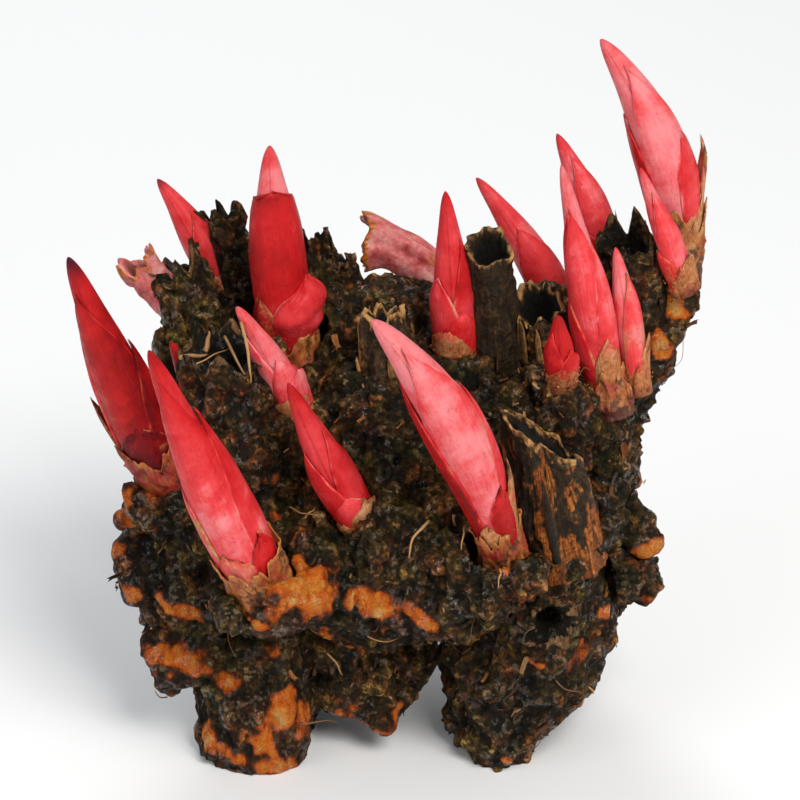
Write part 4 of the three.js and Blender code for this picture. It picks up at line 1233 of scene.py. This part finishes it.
class Finish:
    """A procedural material in the making. Each method adds nodes and returns their output."""

    def __init__(self, name):
        self.material = bpy.data.materials.new(name)
        self.material.use_nodes = True
        self.tree = self.material.node_tree
        self.shader = self.tree.nodes["Principled BSDF"]
        self.place = self.node("ShaderNodeTexCoord").outputs["Object"]

    def node(self, kind, **settings):
        """A new node with these settings."""
        made = self.tree.nodes.new(kind)
        for key, value in settings.items():
            setattr(made, key, value)
        return made

    def feed(self, socket, value):
        """Joins a socket to an output, or sets its plain value."""
        if isinstance(value, bpy.types.NodeSocket):
            self.tree.links.new(value, socket)
        else:
            socket.default_value = value

    def vector(self, name):
        """A vector that the mesh stores under that name."""
        return self.node("ShaderNodeAttribute", attribute_name=name).outputs["Vector"]

    def parts(self, name):
        """The three numbers of a stored vector."""
        split = self.node("ShaderNodeSeparateXYZ")
        self.feed(split.inputs[0], self.vector(name))
        return split.outputs[0], split.outputs[1], split.outputs[2]

    def noise(self, vector, scale, detail, roughness):
        """Noise from 0 to 1 over a vector."""
        noise = self.node("ShaderNodeTexNoise")
        self.feed(noise.inputs["Vector"], vector)
        noise.inputs["Scale"].default_value = scale
        noise.inputs["Detail"].default_value = detail
        noise.inputs["Roughness"].default_value = roughness
        return noise.outputs["Fac"]

    def clouds(self, size, detail, roughness):
        """Noise of that many millimetres in the piece's own place."""
        return self.noise(self.place, 1 / (size * MM), detail, roughness)

    def fibres(self, vector, by, scale, detail, roughness):
        """Noise drawn out along the axes where the vector is scaled down."""
        mapping = self.node("ShaderNodeMapping")
        self.feed(mapping.inputs["Vector"], vector)
        mapping.inputs["Scale"].default_value = by
        return self.noise(mapping.outputs[0], scale, detail, roughness)

    def grains(self, size):
        """A random level for each grain of that many millimetres."""
        cells = self.node("ShaderNodeTexVoronoi", feature="F1")
        self.feed(cells.inputs["Vector"], self.place)
        cells.inputs["Scale"].default_value = 1 / (size * MM)
        split = self.node("ShaderNodeSeparateColor")
        self.feed(split.inputs[0], cells.outputs["Color"])
        return split.outputs[0]

    def times(self, colour, tint, gain):
        """A colour times a tint, brightened by the gain."""
        scaled = self.node("ShaderNodeVectorMath", operation="SCALE")
        self.feed(scaled.inputs[0], tint)
        scaled.inputs["Scale"].default_value = gain
        product = self.node("ShaderNodeVectorMath", operation="MULTIPLY")
        self.feed(product.inputs[0], colour)
        self.feed(product.inputs[1], scaled.outputs[0])
        return product.outputs[0]

    def math(self, operation, first, second):
        """One step of arithmetic on two values."""
        node = self.node("ShaderNodeMath", operation=operation)
        self.feed(node.inputs[0], first)
        self.feed(node.inputs[1], second)
        return node.outputs[0]

    def blend(self, *weighted, plus=0.0):
        """The sum of a plain number and of values times their weights, given in pairs."""
        total = None
        for value, weight in weighted:
            part = self.math("MULTIPLY", value, weight)
            total = part if total is None else self.math("ADD", total, part)
        return self.math("ADD", total, plus) if plus else total

    def span(self, value, low, high, to_low=0.0, to_high=1.0):
        """Rises without corners between two levels of a value."""
        ranged = self.node("ShaderNodeMapRange", interpolation_type="SMOOTHSTEP")
        for socket, given in zip(ranged.inputs, (value, low, high, to_low, to_high)):
            self.feed(socket, given)
        return ranged.outputs[0]

    def ramp(self, factor, *stops):
        """Colours by level, from (level, colour) pairs."""
        node = self.node("ShaderNodeValToRGB")
        ramp = node.color_ramp
        while len(ramp.elements) < len(stops):
            ramp.elements.new(0.5)
        for element, (position, colour) in zip(ramp.elements, stops):
            element.position = position
            element.color = (*colour[:3], 1.0)
        self.feed(node.inputs[0], factor)
        return node.outputs["Color"]

    def mix(self, factor, first, second):
        """From the first colour to the second by a factor."""
        node = self.node("ShaderNodeMix", data_type="RGBA")
        self.feed(node.inputs[0], factor)
        for socket, value in ((node.inputs[6], first), (node.inputs[7], second)):
            self.feed(socket, (*value[:3], 1.0) if isinstance(value, tuple) else value)
        return node.outputs[2]

    def bump(self, height, depth, normal=None):
        """Relief of that depth in millimetres."""
        node = self.node("ShaderNodeBump")
        node.inputs["Distance"].default_value = depth * MM
        self.feed(node.inputs["Height"], height)
        if normal is not None:
            self.feed(node.inputs["Normal"], normal)
        return node.outputs[0]

    def done(self, colour, roughness, normal, **fixed):
        """Joins colour, roughness and normal to the shader and sets its plain values."""
        self.feed(self.shader.inputs["Base Color"], colour)
        self.feed(self.shader.inputs["Roughness"], roughness)
        self.feed(self.shader.inputs["Normal"], normal)
        for key, value in fixed.items():
            self.shader.inputs[key.replace("_", " ")].default_value = value
        return self.material


def bud_finish(settings):
    """Bud scales: crimson through coral to pale pink by tone, which holds painted light and shade
    across each scale, and long streaks, tan and brown where dry, purple-black at the tips with
    painted shade of that colour at the feet, waxy."""
    finish = Finish("bud_scales")
    tone, dry, dark = finish.parts("look")
    grain = finish.vector("grain")
    streaks = finish.fibres(grain, (1.5, 0.16, 1), 1.0, 3.0, 0.62)
    veins = finish.fibres(grain, (4.5, 0.3, 1), 1.0, 3.0, 0.6)
    clouds = finish.clouds(2.4, 5.0, 0.65)
    grime = finish.clouds(0.75, 5.0, 0.68)
    colour = finish.ramp(
        finish.blend(
            (tone, 1.0), (streaks, 0.2), (veins, 0.14), (clouds, 0.3), (grime, 0.2), plus=-0.42
        ),
        (0.0, settings.deep_colour), (0.26, settings.crimson_colour),
        (0.5, settings.coral_colour), (0.76, settings.pink_colour), (1.0, settings.pale_colour),
    )
    specks = finish.span(finish.clouds(1.1, 4.0, 0.7), 0.6, 0.68)
    colour = finish.mix(finish.math("MULTIPLY", specks, 0.35), colour, (0.24, 0.012, 0.012))
    paper = finish.ramp(
        finish.blend((grime, 0.4), (clouds, 0.35), (veins, 0.2), (tone, 0.16)),
        (0.34, (0.06, 0.012, 0.005)), (0.48, (0.24, 0.05, 0.017)), (0.62, (0.46, 0.18, 0.065)),
        (0.8, (0.68, 0.42, 0.26)),
    )
    parched = finish.span(finish.blend((dry, 1.0), (grime, 0.5), (clouds, 0.3)), 0.62, 1.05)
    colour = finish.mix(parched, colour, paper)
    # Purple-black at the tips, and painted shade of that colour at the very foot
    tip_burn_and_foot_shade = finish.span(finish.blend((dark, 1.0), (streaks, 0.5)), 0.45, 1.2)
    colour = finish.mix(tip_burn_and_foot_shade, colour, (0.04, 0.004, 0.014))
    damp = finish.span(clouds, 0.42, 0.62)
    roughness = finish.blend((damp, -0.16), (parched, 0.25), (grime, 0.3), plus=0.32)
    relief = finish.blend((veins, 0.5), (streaks, 0.4), (grime, 0.6))
    return finish.done(
        colour, roughness, finish.bump(relief, 0.26), Subsurface_Weight=0.08,
        Subsurface_Radius=(1.0, 0.2, 0.12), Subsurface_Scale=0.0008, IOR=1.42,
        Specular_IOR_Level=0.16, Coat_Weight=0.05, Coat_Roughness=0.22,
    )


def husk_finish(settings):
    """Dry husk: red where it is still fleshy, then orange-brown and tan paper, with creases; soil
    in noise spots, and painted shade in the creases and towards the foot.
    """
    finish = Finish("dry_husk")
    tone, edge, hollow = finish.parts("look")
    fibres = finish.fibres(finish.vector("grain"), (2.6, 0.3, 1), 1.0, 4.0, 0.6)
    clouds = finish.clouds(2.4, 5.0, 0.62)
    grime = finish.clouds(0.9, 5.0, 0.65)
    colour = finish.ramp(
        finish.blend((tone, 0.8), (clouds, 0.6), (fibres, 0.4), (edge, 0.12), plus=-0.46),
        (0.0, (0.05, 0.01, 0.006)), (0.2, (0.34, 0.02, 0.014)), (0.36, (0.32, 0.075, 0.014)),
        (0.52, settings.husk_colour), (0.7, (0.56, 0.26, 0.09)), (0.95, settings.tan_colour),
    )
    # Soil in noise spots, and painted shade where the husk is hollow: in its creases and towards
    # its foot
    soil = finish.span(finish.blend((grime, 1.0), (hollow, -0.35)), 0.42, 0.6)
    colour = finish.mix(finish.math("MULTIPLY", soil, 0.8), colour, (0.03, 0.014, 0.006))
    relief = finish.blend((fibres, 0.6), (grime, 0.6))
    roughness = finish.blend((grime, 0.5), (clouds, 0.3), plus=0.15)
    return finish.done(
        colour, roughness, finish.bump(relief, 0.3), Subsurface_Weight=0.05,
        Subsurface_Radius=(1.0, 0.4, 0.2), Subsurface_Scale=0.001,
    )


def crease_shade_and_crust_colours(finish, settings, level):
    """Near-black soil and painted shade in the creases, brown crust and tan flecks by level,
    tinted olive to brown from place to place."""
    soil = finish.ramp(
        level,
        (0.2, settings.soil_and_crease_shade_colour), (0.38, (0.014, 0.0095, 0.0034)),
        (0.54, settings.crust_colour), (0.68, (0.115, 0.06, 0.021)), (0.8, (0.26, 0.15, 0.06)),
        (0.93, (0.52, 0.37, 0.2)),
    )
    tint = finish.ramp(
        finish.clouds(6.0, 3.0, 0.6),
        (0.38, (0.62, 0.7, 0.26)), (0.52, (0.78, 0.64, 0.38)), (0.66, (1.0, 0.48, 0.22)),
    )
    return finish.times(soil, tint, 1.6)


def bare_colours(finish, settings, level):
    """Bare bark by level, from brown-black through orange to tan."""
    return finish.ramp(
        level,
        (0.12, (0.014, 0.006, 0.002)), (0.28, (0.085, 0.02, 0.003)), (0.42, (0.32, 0.06, 0.005)),
        (0.56, settings.bark_colour), (0.74, (0.8, 0.24, 0.02)), (0.94, (0.84, 0.42, 0.12)),
    )


def cut_colours(finish, level):
    """Cut wood by level, from brown to straw."""
    return finish.ramp(
        level,
        (0.35, (0.12, 0.05, 0.016)), (0.55, (0.32, 0.17, 0.066)), (0.72, (0.56, 0.36, 0.17)),
    )


def bark_finish(name, settings):
    """Crown and root bark: soil and painted shade in the creases and crust on the nodules, bare
    orange-brown bark in patches, also darker in the creases, cut wood below, and a coat of water
    on the grains where it is damp."""
    finish = Finish(name)
    level, shown, cut = finish.parts("look")
    clouds = finish.clouds(5.0, 5.0, 0.6)
    crust = finish.clouds(1.5, 6.0, 0.74)
    grit = finish.clouds(0.5, 4.0, 0.72)
    grains = finish.grains(0.8)
    fibres = finish.fibres(finish.place, (1.0, 1.0, 0.4), 1 / (1.6 * MM), 5.0, 0.65)
    # Crust noise, with painted shade from the level: near-black in the creases
    crust_and_crease_shade = finish.blend(
        (level, 0.55), (clouds, 0.35), (crust, 0.95), (grit, 0.45), (grains, 0.3), plus=-0.785
    )
    barky = finish.blend(
        (shown, 1.1), (fibres, 1.1), (clouds, 0.5), (level, 0.34), (crust, 0.6), plus=-1.66
    )
    bare = finish.span(finish.blend((shown, 1.0), (crust, 0.8), (grains, -0.15)), 0.55, 0.95)
    colour = finish.mix(
        bare, crease_shade_and_crust_colours(finish, settings, crust_and_crease_shade), bare_colours(finish, settings, barky)
    )
    flesh = cut_colours(finish, finish.blend((crust, 0.6), (grit, 0.4)))
    colour = finish.mix(finish.span(cut, 0.4, 0.7), colour, flesh)
    damp = finish.span(finish.clouds(3.6, 4.0, 0.6), 0.44, 0.58)
    glints = finish.math("MULTIPLY", finish.span(grains, 0.7, 0.76), damp)
    roughness = finish.blend(
        (crust, 0.4), (damp, -0.32), (glints, -0.3), (bare, -0.1), plus=0.55
    )
    strands = finish.math("MULTIPLY", finish.math("MULTIPLY", fibres, bare), 0.9)
    coarse = finish.blend((crust, 1.0), (grains, 0.2), (bare, -0.53), (strands, 1.0))
    normal = finish.bump(grit, 0.8, finish.bump(coarse, 2.3))
    wet = finish.span(finish.blend((grains, 0.7), (crust, 0.5)), 0.62, 0.72)
    finish.feed(finish.shader.inputs["Coat Weight"], finish.math("MULTIPLY", wet, damp))
    finish.feed(finish.shader.inputs["Coat Normal"], normal)
    return finish.done(
        colour, roughness, normal, Specular_IOR_Level=0.2, Coat_Roughness=0.14, Coat_IOR=1.75
    )


def stem_finish(name, settings, flesh):
    """Old stems: weathered grey-brown fibres, pale torn rims, and painted shade that turns
    near-black down the bore. A broken shoot has pink flesh in their place, dark red painted
    shade down its bore, and a brown ragged rim."""
    finish = Finish(name)
    tone, bark, dark = finish.parts("look")
    fibres = finish.fibres(finish.vector("grain"), (2.4, 0.16, 1), 1.0, 5.0, 0.62)
    clouds = finish.clouds(3.5, 5.0, 0.62)
    grime = finish.clouds(0.9, 5.0, 0.66)
    crust = finish.clouds(1.3, 6.0, 0.74)
    if flesh:
        inside, soiled, fibrous, depth, shine = (0.16, 0.03, 0.02), 0.2, 0.2, 0.3, 0.35
        colour = finish.ramp(
            finish.blend((clouds, 0.7), (crust, 0.3)),
            (0.36, (0.33, 0.025, 0.025)), (0.5, settings.pink_colour), (0.68, (0.76, 0.42, 0.36)),
        )
    else:
        inside, soiled, fibrous, depth, shine = (0.004, 0.003, 0.002), 0.7, 0.9, 0.7, 0.25
        colour = finish.ramp(
            finish.blend((tone, 0.8), (fibres, 0.5), (clouds, 0.3), (crust, 0.75), plus=-0.5),
            (0.1, settings.soil_and_crease_shade_colour), (0.26, (0.02, 0.0125, 0.0045)),
            (0.42, settings.stem_colour), (0.58, (0.17, 0.082, 0.024)),
            (0.72, (0.34, 0.165, 0.05)), (0.95, settings.rim_colour),
        )
    orange = finish.ramp(
        finish.blend((fibres, 0.9), (clouds, 0.4)),
        (0.42, (0.035, 0.01, 0.0025)), (0.54, (0.17, 0.042, 0.007)), (0.66, (0.46, 0.11, 0.01)),
        (0.82, (0.6, 0.26, 0.06)),
    )
    bare = finish.span(finish.blend((bark, 1.0), (fibres, 0.5), (grime, 0.3)), 0.65, 1.1)
    colour = finish.mix(bare, colour, orange)
    soil = finish.span(finish.blend((grime, 0.8), (clouds, 0.5), (tone, -0.35)), 0.52, 0.7)
    colour = finish.mix(finish.math("MULTIPLY", soil, soiled), colour, (0.012, 0.0075, 0.003))
    # Painted shade down the bore: near-black in an old stem, dark red in a broken shoot
    colour = finish.mix(finish.span(dark, 0.2, 1.0), colour, inside)
    relief = finish.blend((fibres, fibrous), (grime, 0.6), (crust, fibrous))
    roughness = finish.blend((grime, 0.6), (clouds, -0.3), plus=0.42)
    return finish.done(colour, roughness, finish.bump(relief, depth), Specular_IOR_Level=shine)


def soil_finish(settings):
    """Soil crumbs, and bark flakes: one tone for each crumb or flake."""
    finish = Finish("soil")
    tone, flake, _ = finish.parts("look")
    grime = finish.clouds(0.6, 4.0, 0.65)
    soil = finish.ramp(
        finish.blend((tone, 0.8), (grime, 0.4)),
        (0.2, settings.soil_and_crease_shade_colour), (0.6, (0.024, 0.019, 0.011)), (0.86, settings.crust_colour),
        (1.0, (0.16, 0.1, 0.05)),
    )
    bark = finish.ramp(
        finish.blend((tone, 0.8), (grime, 0.5)),
        (0.3, (0.02, 0.01, 0.004)), (0.6, (0.09, 0.033, 0.009)), (0.85, (0.28, 0.085, 0.014)),
        (1.0, (0.36, 0.2, 0.08)),
    )
    colour = finish.mix(flake, soil, bark)
    roughness = finish.blend((grime, 0.6), plus=0.25)
    return finish.done(colour, roughness, finish.bump(grime, 0.12), Specular_IOR_Level=0.24)


def straw_finish():
    """Rootlets and straws: one tone for each, from dark brown to straw."""
    finish = Finish("straw")
    tone, _, _ = finish.parts("look")
    grime = finish.clouds(0.6, 4.0, 0.65)
    colour = finish.ramp(
        finish.blend((tone, 0.7), (grime, 0.6)),
        (0.1, (0.05, 0.017, 0.005)), (0.55, (0.18, 0.075, 0.02)), (1.0, (0.44, 0.235, 0.08)),
    )
    return finish.done(colour, finish.math("ADD", grime, 0.1), finish.bump(grime, 0.05))


# What a user may change

def colour_property(name, description, default):
    """A colour that a user may change."""
    return bpy.props.FloatVectorProperty(
        name=name, description=description, default=default, size=3, min=0, max=1, subtype="COLOR"
    )


class PeonyBudSettings(bpy.types.PropertyGroup):
    """Colours of the winter buds and their husks."""

    deep_colour: colour_property("Deep", "Darkest red of the scales", (0.1, 0.002, 0.004))
    crimson_colour: colour_property("Crimson", "Dark red of the scales", (0.31, 0.005, 0.005))
    coral_colour: colour_property("Coral", "Main red of the scales", (0.54, 0.012, 0.014))
    pink_colour: colour_property("Pink", "Lighter streaks of the scales", (0.72, 0.052, 0.058))
    pale_colour: colour_property("Pale", "Palest streaks of the scales", (0.8, 0.22, 0.23))
    husk_colour: colour_property("Husk", "Orange-brown of a dry husk", (0.44, 0.15, 0.028))
    tan_colour: colour_property("Tan", "Tan of a husk's torn edge", (0.62, 0.4, 0.22))


class PeonyBarkSettings(bpy.types.PropertyGroup):
    """Relief and colours of the crown, the roots and the old stems."""

    voxel: bpy.props.FloatProperty(
        name="Crown detail", description="Size of the crown's faces in millimetres",
        default=0.66, min=0.4, max=3.0,
    )
    root_voxel: bpy.props.FloatProperty(
        name="Root detail", description="Size of the roots' faces in millimetres",
        default=0.6, min=0.4, max=3.0,
    )
    relief: bpy.props.FloatProperty(
        name="Relief", description="How strongly the bark's nodules stand out",
        default=1.0, min=0.0, max=2.0, subtype="FACTOR",
    )
    # Near-black soil, which also paints the shade in the bark's creases
    soil_and_crease_shade_colour: colour_property("Soil", "Soil in the creases", (0.005, 0.0042, 0.0016))
    crust_colour: colour_property("Crust", "Crust on the nodules", (0.042, 0.027, 0.0105))
    bark_colour: colour_property("Bark", "Bare bark", (0.74, 0.13, 0.006))
    stem_colour: colour_property("Stem", "Weathered stem fibres", (0.066, 0.034, 0.011))
    rim_colour: colour_property("Rim", "Torn rims of the stems", (0.56, 0.3, 0.105))
    pink_colour: colour_property("Flesh", "Flesh of the broken shoots", (0.62, 0.15, 0.14))


class PeonyDebrisSettings(bpy.types.PropertyGroup):
    """Loose soil, flakes and rootlets that cling to the bark."""

    crumbs: bpy.props.IntProperty(
        name="Crumbs", description="Number of soil crumbs", default=2600, min=0, max=6000
    )
    flakes: bpy.props.IntProperty(
        name="Flakes", description="Number of bark flakes", default=1300, min=0, max=2000
    )
    rootlets: bpy.props.IntProperty(
        name="Rootlets", description="Number of fine rootlets", default=110, min=0, max=600
    )


class PeonyStageSettings(bpy.types.PropertyGroup):
    """The floor and the light."""

    floor_colour: colour_property("Floor", "Colour of the floor", (0.86, 0.86, 0.86))
    key: bpy.props.FloatProperty(
        name="Key light", description="Power of the main light in watts", default=13.0, min=0,
        unit="POWER",
    )
    sky: bpy.props.FloatProperty(
        name="Sky light", description="Strength of the light from all round", default=0.36, min=0
    )


# Operators

class PEONY_OT_stage(bpy.types.Operator):
    """Make the camera at the photograph's view, the floor and the soft studio light."""

    bl_idname = "peony.stage"
    bl_label = "Stage"

    def execute(self, context):
        settings = context.scene.peony_stage
        self.make_camera(context.scene)
        self.make_floor(settings)
        self.make_lights(context.scene, settings)
        context.scene.view_settings.view_transform = "Standard"
        return {"FINISHED"}

    def make_camera(self, scene):
        """The camera, whose lens takes in VIEW_WIDTH at the target."""
        data = bpy.data.cameras.new("view")
        data.sensor_width = SENSOR
        data.lens = SENSOR * VIEW_DISTANCE / VIEW_WIDTH
        data.clip_start = 0.01
        camera = bpy.data.objects.new("view", data)
        camera.location, _ = view_ray(IMAGE_SIDE / 2, IMAGE_SIDE / 2)
        camera.rotation_euler = (math.radians(90 - VIEW_DOWN), 0, 0)
        scene.collection.objects.link(camera)
        scene.camera = camera

    def make_floor(self, settings):
        """A large pale floor at height 0, with a faint unevenness."""
        half = 4.0
        mesh = bpy.data.meshes.new("floor")
        corners = [(-half, -half, 0), (half, -half, 0), (half, half, 0), (-half, half, 0)]
        mesh.from_pydata(corners, [], [(0, 1, 2, 3)])
        finish = Finish("floor")
        faint = finish.noise(finish.place, 3.0, 2.0, 0.55)
        colour = tuple(settings.floor_colour)
        shade = finish.mix(faint, colour, tuple(0.985 * part for part in colour))
        mesh.materials.append(
            finish.done(shade, finish.span(faint, 0, 1, 0.85, 0.95), finish.bump(faint, 0.05))
        )
        floor = bpy.data.objects.new("floor", mesh)
        bpy.context.scene.collection.objects.link(floor)
        floor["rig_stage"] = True

    def make_lights(self, scene, settings):
        """An even sky, a main lamp, a fill lamp and one behind, all aimed at the target."""
        world = bpy.data.worlds.new("sky")
        world.use_nodes = True
        background = world.node_tree.nodes["Background"]
        background.inputs["Color"].default_value = (0.93, 0.96, 1.0, 1.0)
        background.inputs["Strength"].default_value = settings.sky
        scene.world = world
        lamps = {
            "key": ((0.4, -0.75, 0.9), 0.5, settings.key, (1.0, 0.98, 0.95)),
            "fill": ((-0.8, -0.7, 0.5), 0.7, settings.key * 0.25, (0.92, 0.96, 1.0)),
            "back": ((-0.2, 0.8, 0.8), 0.6, settings.key * 0.35, (1.0, 1.0, 1.0)),
        }
        target = Vector(VIEW_TARGET * MM)
        for name, (place, side, power, colour) in lamps.items():
            data = bpy.data.lights.new(name, "AREA")
            data.size = side
            data.energy = power
            data.color = colour
            lamp = bpy.data.objects.new(name, data)
            lamp.location = place
            lamp.rotation_euler = (target - Vector(place)).to_track_quat("-Z", "Y").to_euler()
            scene.collection.objects.link(lamp)


class PEONY_OT_bark(bpy.types.Operator):
    """Give the crown and each root a fine bark surface with soil and bare patches."""

    bl_idname = "peony.bark"
    bl_label = "Crown and roots"

    def execute(self, context):
        settings = context.scene.peony_bark
        trees = trees_of(frame["nodes"].values())
        spots = [
            (seen_at(trees, *first)[0], seen_at(trees, *last)[0], radius)
            for first, last, radius in BARK_SPOTS.values()
        ]
        crown = bark_finish("crown_bark", settings)
        skin = bark_finish("root_skin", settings)
        relief = settings.relief
        make_bark("crown", settings.voxel, relief, spots, 0.55, crown)
        for node in ROOTS:
            share = CALM_ROOTS.get(node, ROOT_RELIEF)
            make_bark(node, settings.root_voxel, share * relief, spots, 0.5, skin)
        return {"FINISHED"}


class PEONY_OT_buds(bpy.types.Operator):
    """Make the winter buds from their overlapping scales."""

    bl_idname = "peony.buds"
    bl_label = "Winter buds"

    def execute(self, context):
        material = bud_finish(context.scene.peony_bud)
        for name, bud in BUDS.items():
            make_bud(name, bud, material)
        return {"FINISHED"}


class PEONY_OT_husks(bpy.types.Operator):
    """Make the dry torn husks round the feet of the large buds."""

    bl_idname = "peony.husks"
    bl_label = "Dry husks"

    def execute(self, context):
        material = husk_finish(context.scene.peony_bud)
        for name, husk in HUSKS.items():
            make_husk(name, husk, material)
        return {"FINISHED"}


class PEONY_OT_stems(bpy.types.Operator):
    """Make the hollow stubs of the old stems and the broken shoots."""

    bl_idname = "peony.stems"
    bl_label = "Old stems and broken shoots"

    def execute(self, context):
        settings = context.scene.peony_bark
        wood = stem_finish("old_stem", settings, False)
        rough_wood = bark_finish("old_stem_bark", settings)
        for name, stem in STEMS.items():
            make_stub(name, stem, rough_wood if stem.rough else wood)
        flesh = stem_finish("broken_shoot", settings, True)
        for name, shoot in BROKEN_SHOOTS.items():
            make_stub(name, shoot, flesh, flesh=True)
        return {"FINISHED"}


class PEONY_OT_debris(bpy.types.Operator):
    """Strew soil crumbs, bark flakes and rootlets over the bark, and lay the straws."""

    bl_idname = "peony.debris"
    bl_label = "Soil, flakes and straws"

    def execute(self, context):
        settings = context.scene.peony_debris
        bark = context.scene.peony_bark
        draw = np.random.default_rng(5)
        places, normals, bare = self.ground_of(["crown"] + ROOTS)
        loose = Surface()
        soiled = np.flatnonzero(bare < 0.25)
        picked = draw.choice(soiled, settings.crumbs, replace=False)
        sizes = 0.15 + 0.45 * draw.random(settings.crumbs) ** 3
        add_crumbs(loose, places[picked], normals[picked], sizes, draw)
        picked = draw.choice(soiled, settings.flakes, replace=False)
        sizes = 0.4 + 1.3 * draw.random(settings.flakes) ** 3
        add_flakes(loose, places[picked] + 0.1 * normals[picked], normals[picked], sizes, draw)
        strewn = loose.object("soil_and_flakes", soil_finish(bark))
        strewn.data.shade_flat()
        threads = Surface()
        self.add_rootlets(threads, places, normals, settings.rootlets, draw)
        self.add_straws(threads, draw)
        threads.object("rootlets_and_straws", straw_finish())
        return {"FINISHED"}

    def ground_of(self, nodes):
        """Points, normals and bareness of these nodes' bark, clear of the cut soles."""
        places, normals, bare = [], [], []
        for node in nodes:
            mesh = bpy.data.objects[node + "_bark"].data
            places.append(vectors_of(mesh.vertices, "co") / MM - BASE_SHIFT)
            normals.append(vectors_of(mesh.vertex_normals, "vector"))
            bare.append(vectors_of(mesh.attributes["look"].data, "vector")[:, 1])
        places, normals, bare = (np.concatenate(part) for part in (places, normals, bare))
        clear = (places[:, 2] > 2.0) & (normals[:, 2] > -0.9)
        return places[clear], normals[clear], bare[clear]

    def add_rootlets(self, surface, places, normals, count, draw):
        """Fine roots that leave the bark, run along it and curl by seeded sines."""
        picked = draw.choice(len(places), count, replace=False)
        frames = turned_frames(normals[picked], draw)
        length = draw.uniform(2.5, 9.0, (count, 1, 1))
        share = np.linspace(0, 1, 12)[None, :, None]
        curl = draw.uniform(-0.3, 0.3, (count, 1, 1))
        phase = draw.uniform(0, 6, (count, 1, 1))
        rise = 0.18 * length * np.sin(share * math.pi) + 0.25
        side = curl * length * np.sin(share * 4 + phase) * share
        local = np.concatenate([side, length * share, rise], axis=-1)
        paths = set_out(places[picked], frames, local)
        radius = draw.uniform(0.07, 0.17, count)
        add_threads(surface, paths, radius, 0.8 * draw.random(count) ** 2)

    def add_straws(self, surface, draw):
        """Straws between two pixels of the photograph, on what the camera sees there."""
        pieces = [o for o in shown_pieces() if "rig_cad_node" not in o]
        trees = trees_of(pieces)
        share = np.linspace(0, 1, 14)[:, None]
        for first, last, radius, stands in STRAWS.values():
            (start, up), (end, down) = seen_at(trees, *first, 4), seen_at(trees, *last, 4)
            out = unit(up + down)
            wave = 0.14 * np.sin(share * 9 + draw.uniform(0, 6)) * np.cross(out, unit(end - start))
            path = start + (end - start) * share + out * (radius + stands * np.sin(share * math.pi))
            add_threads(surface, (path + wave)[None], [radius], [draw.uniform(0.7, 1.0)], 8)


class PEONY_PT_panel(bpy.types.Panel):
    """Lists the steps and their settings."""

    bl_idname = "PEONY_PT_panel"
    bl_label = "Peony root"
    bl_space_type = "VIEW_3D"
    bl_region_type = "UI"
    bl_category = "Peony root"

    def draw(self, context):
        for group, (_, steps) in GROUPS.items():
            box = self.layout.box()
            settings = getattr(context.scene, group)
            for key in settings.bl_rna.properties.keys():
                if key not in ("rna_type", "name"):
                    box.prop(settings, key)
            for step in steps:
                box.operator(step.bl_idname)


# The settings and the steps of each group in the panel
GROUPS = {
    "peony_stage": (PeonyStageSettings, [PEONY_OT_stage]),
    "peony_bark": (PeonyBarkSettings, [PEONY_OT_bark, PEONY_OT_stems]),
    "peony_bud": (PeonyBudSettings, [PEONY_OT_buds, PEONY_OT_husks]),
    "peony_debris": (PeonyDebrisSettings, [PEONY_OT_debris]),
}
CLASSES = [made for settings, steps in GROUPS.values() for made in (settings, *steps)]
CLASSES.append(PEONY_PT_panel)


def register():
    """Makes the classes known, and gives every scene the settings."""
    for made in CLASSES:
        bpy.utils.register_class(made)
    for name, (settings, _) in GROUPS.items():
        setattr(bpy.types.Scene, name, bpy.props.PointerProperty(type=settings))


def unregister():
    """Takes the settings and the classes away again."""
    for name in GROUPS:
        delattr(bpy.types.Scene, name)
    for made in reversed(CLASSES):
        bpy.utils.unregister_class(made)


def main():
    """Registers the add-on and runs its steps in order."""
    register()
    bpy.ops.peony.stage()
    bpy.ops.peony.bark()
    bpy.ops.peony.stems()
    bpy.ops.peony.buds()
    bpy.ops.peony.husks()
    bpy.ops.peony.debris()


if __name__ == "__main__":
    main()
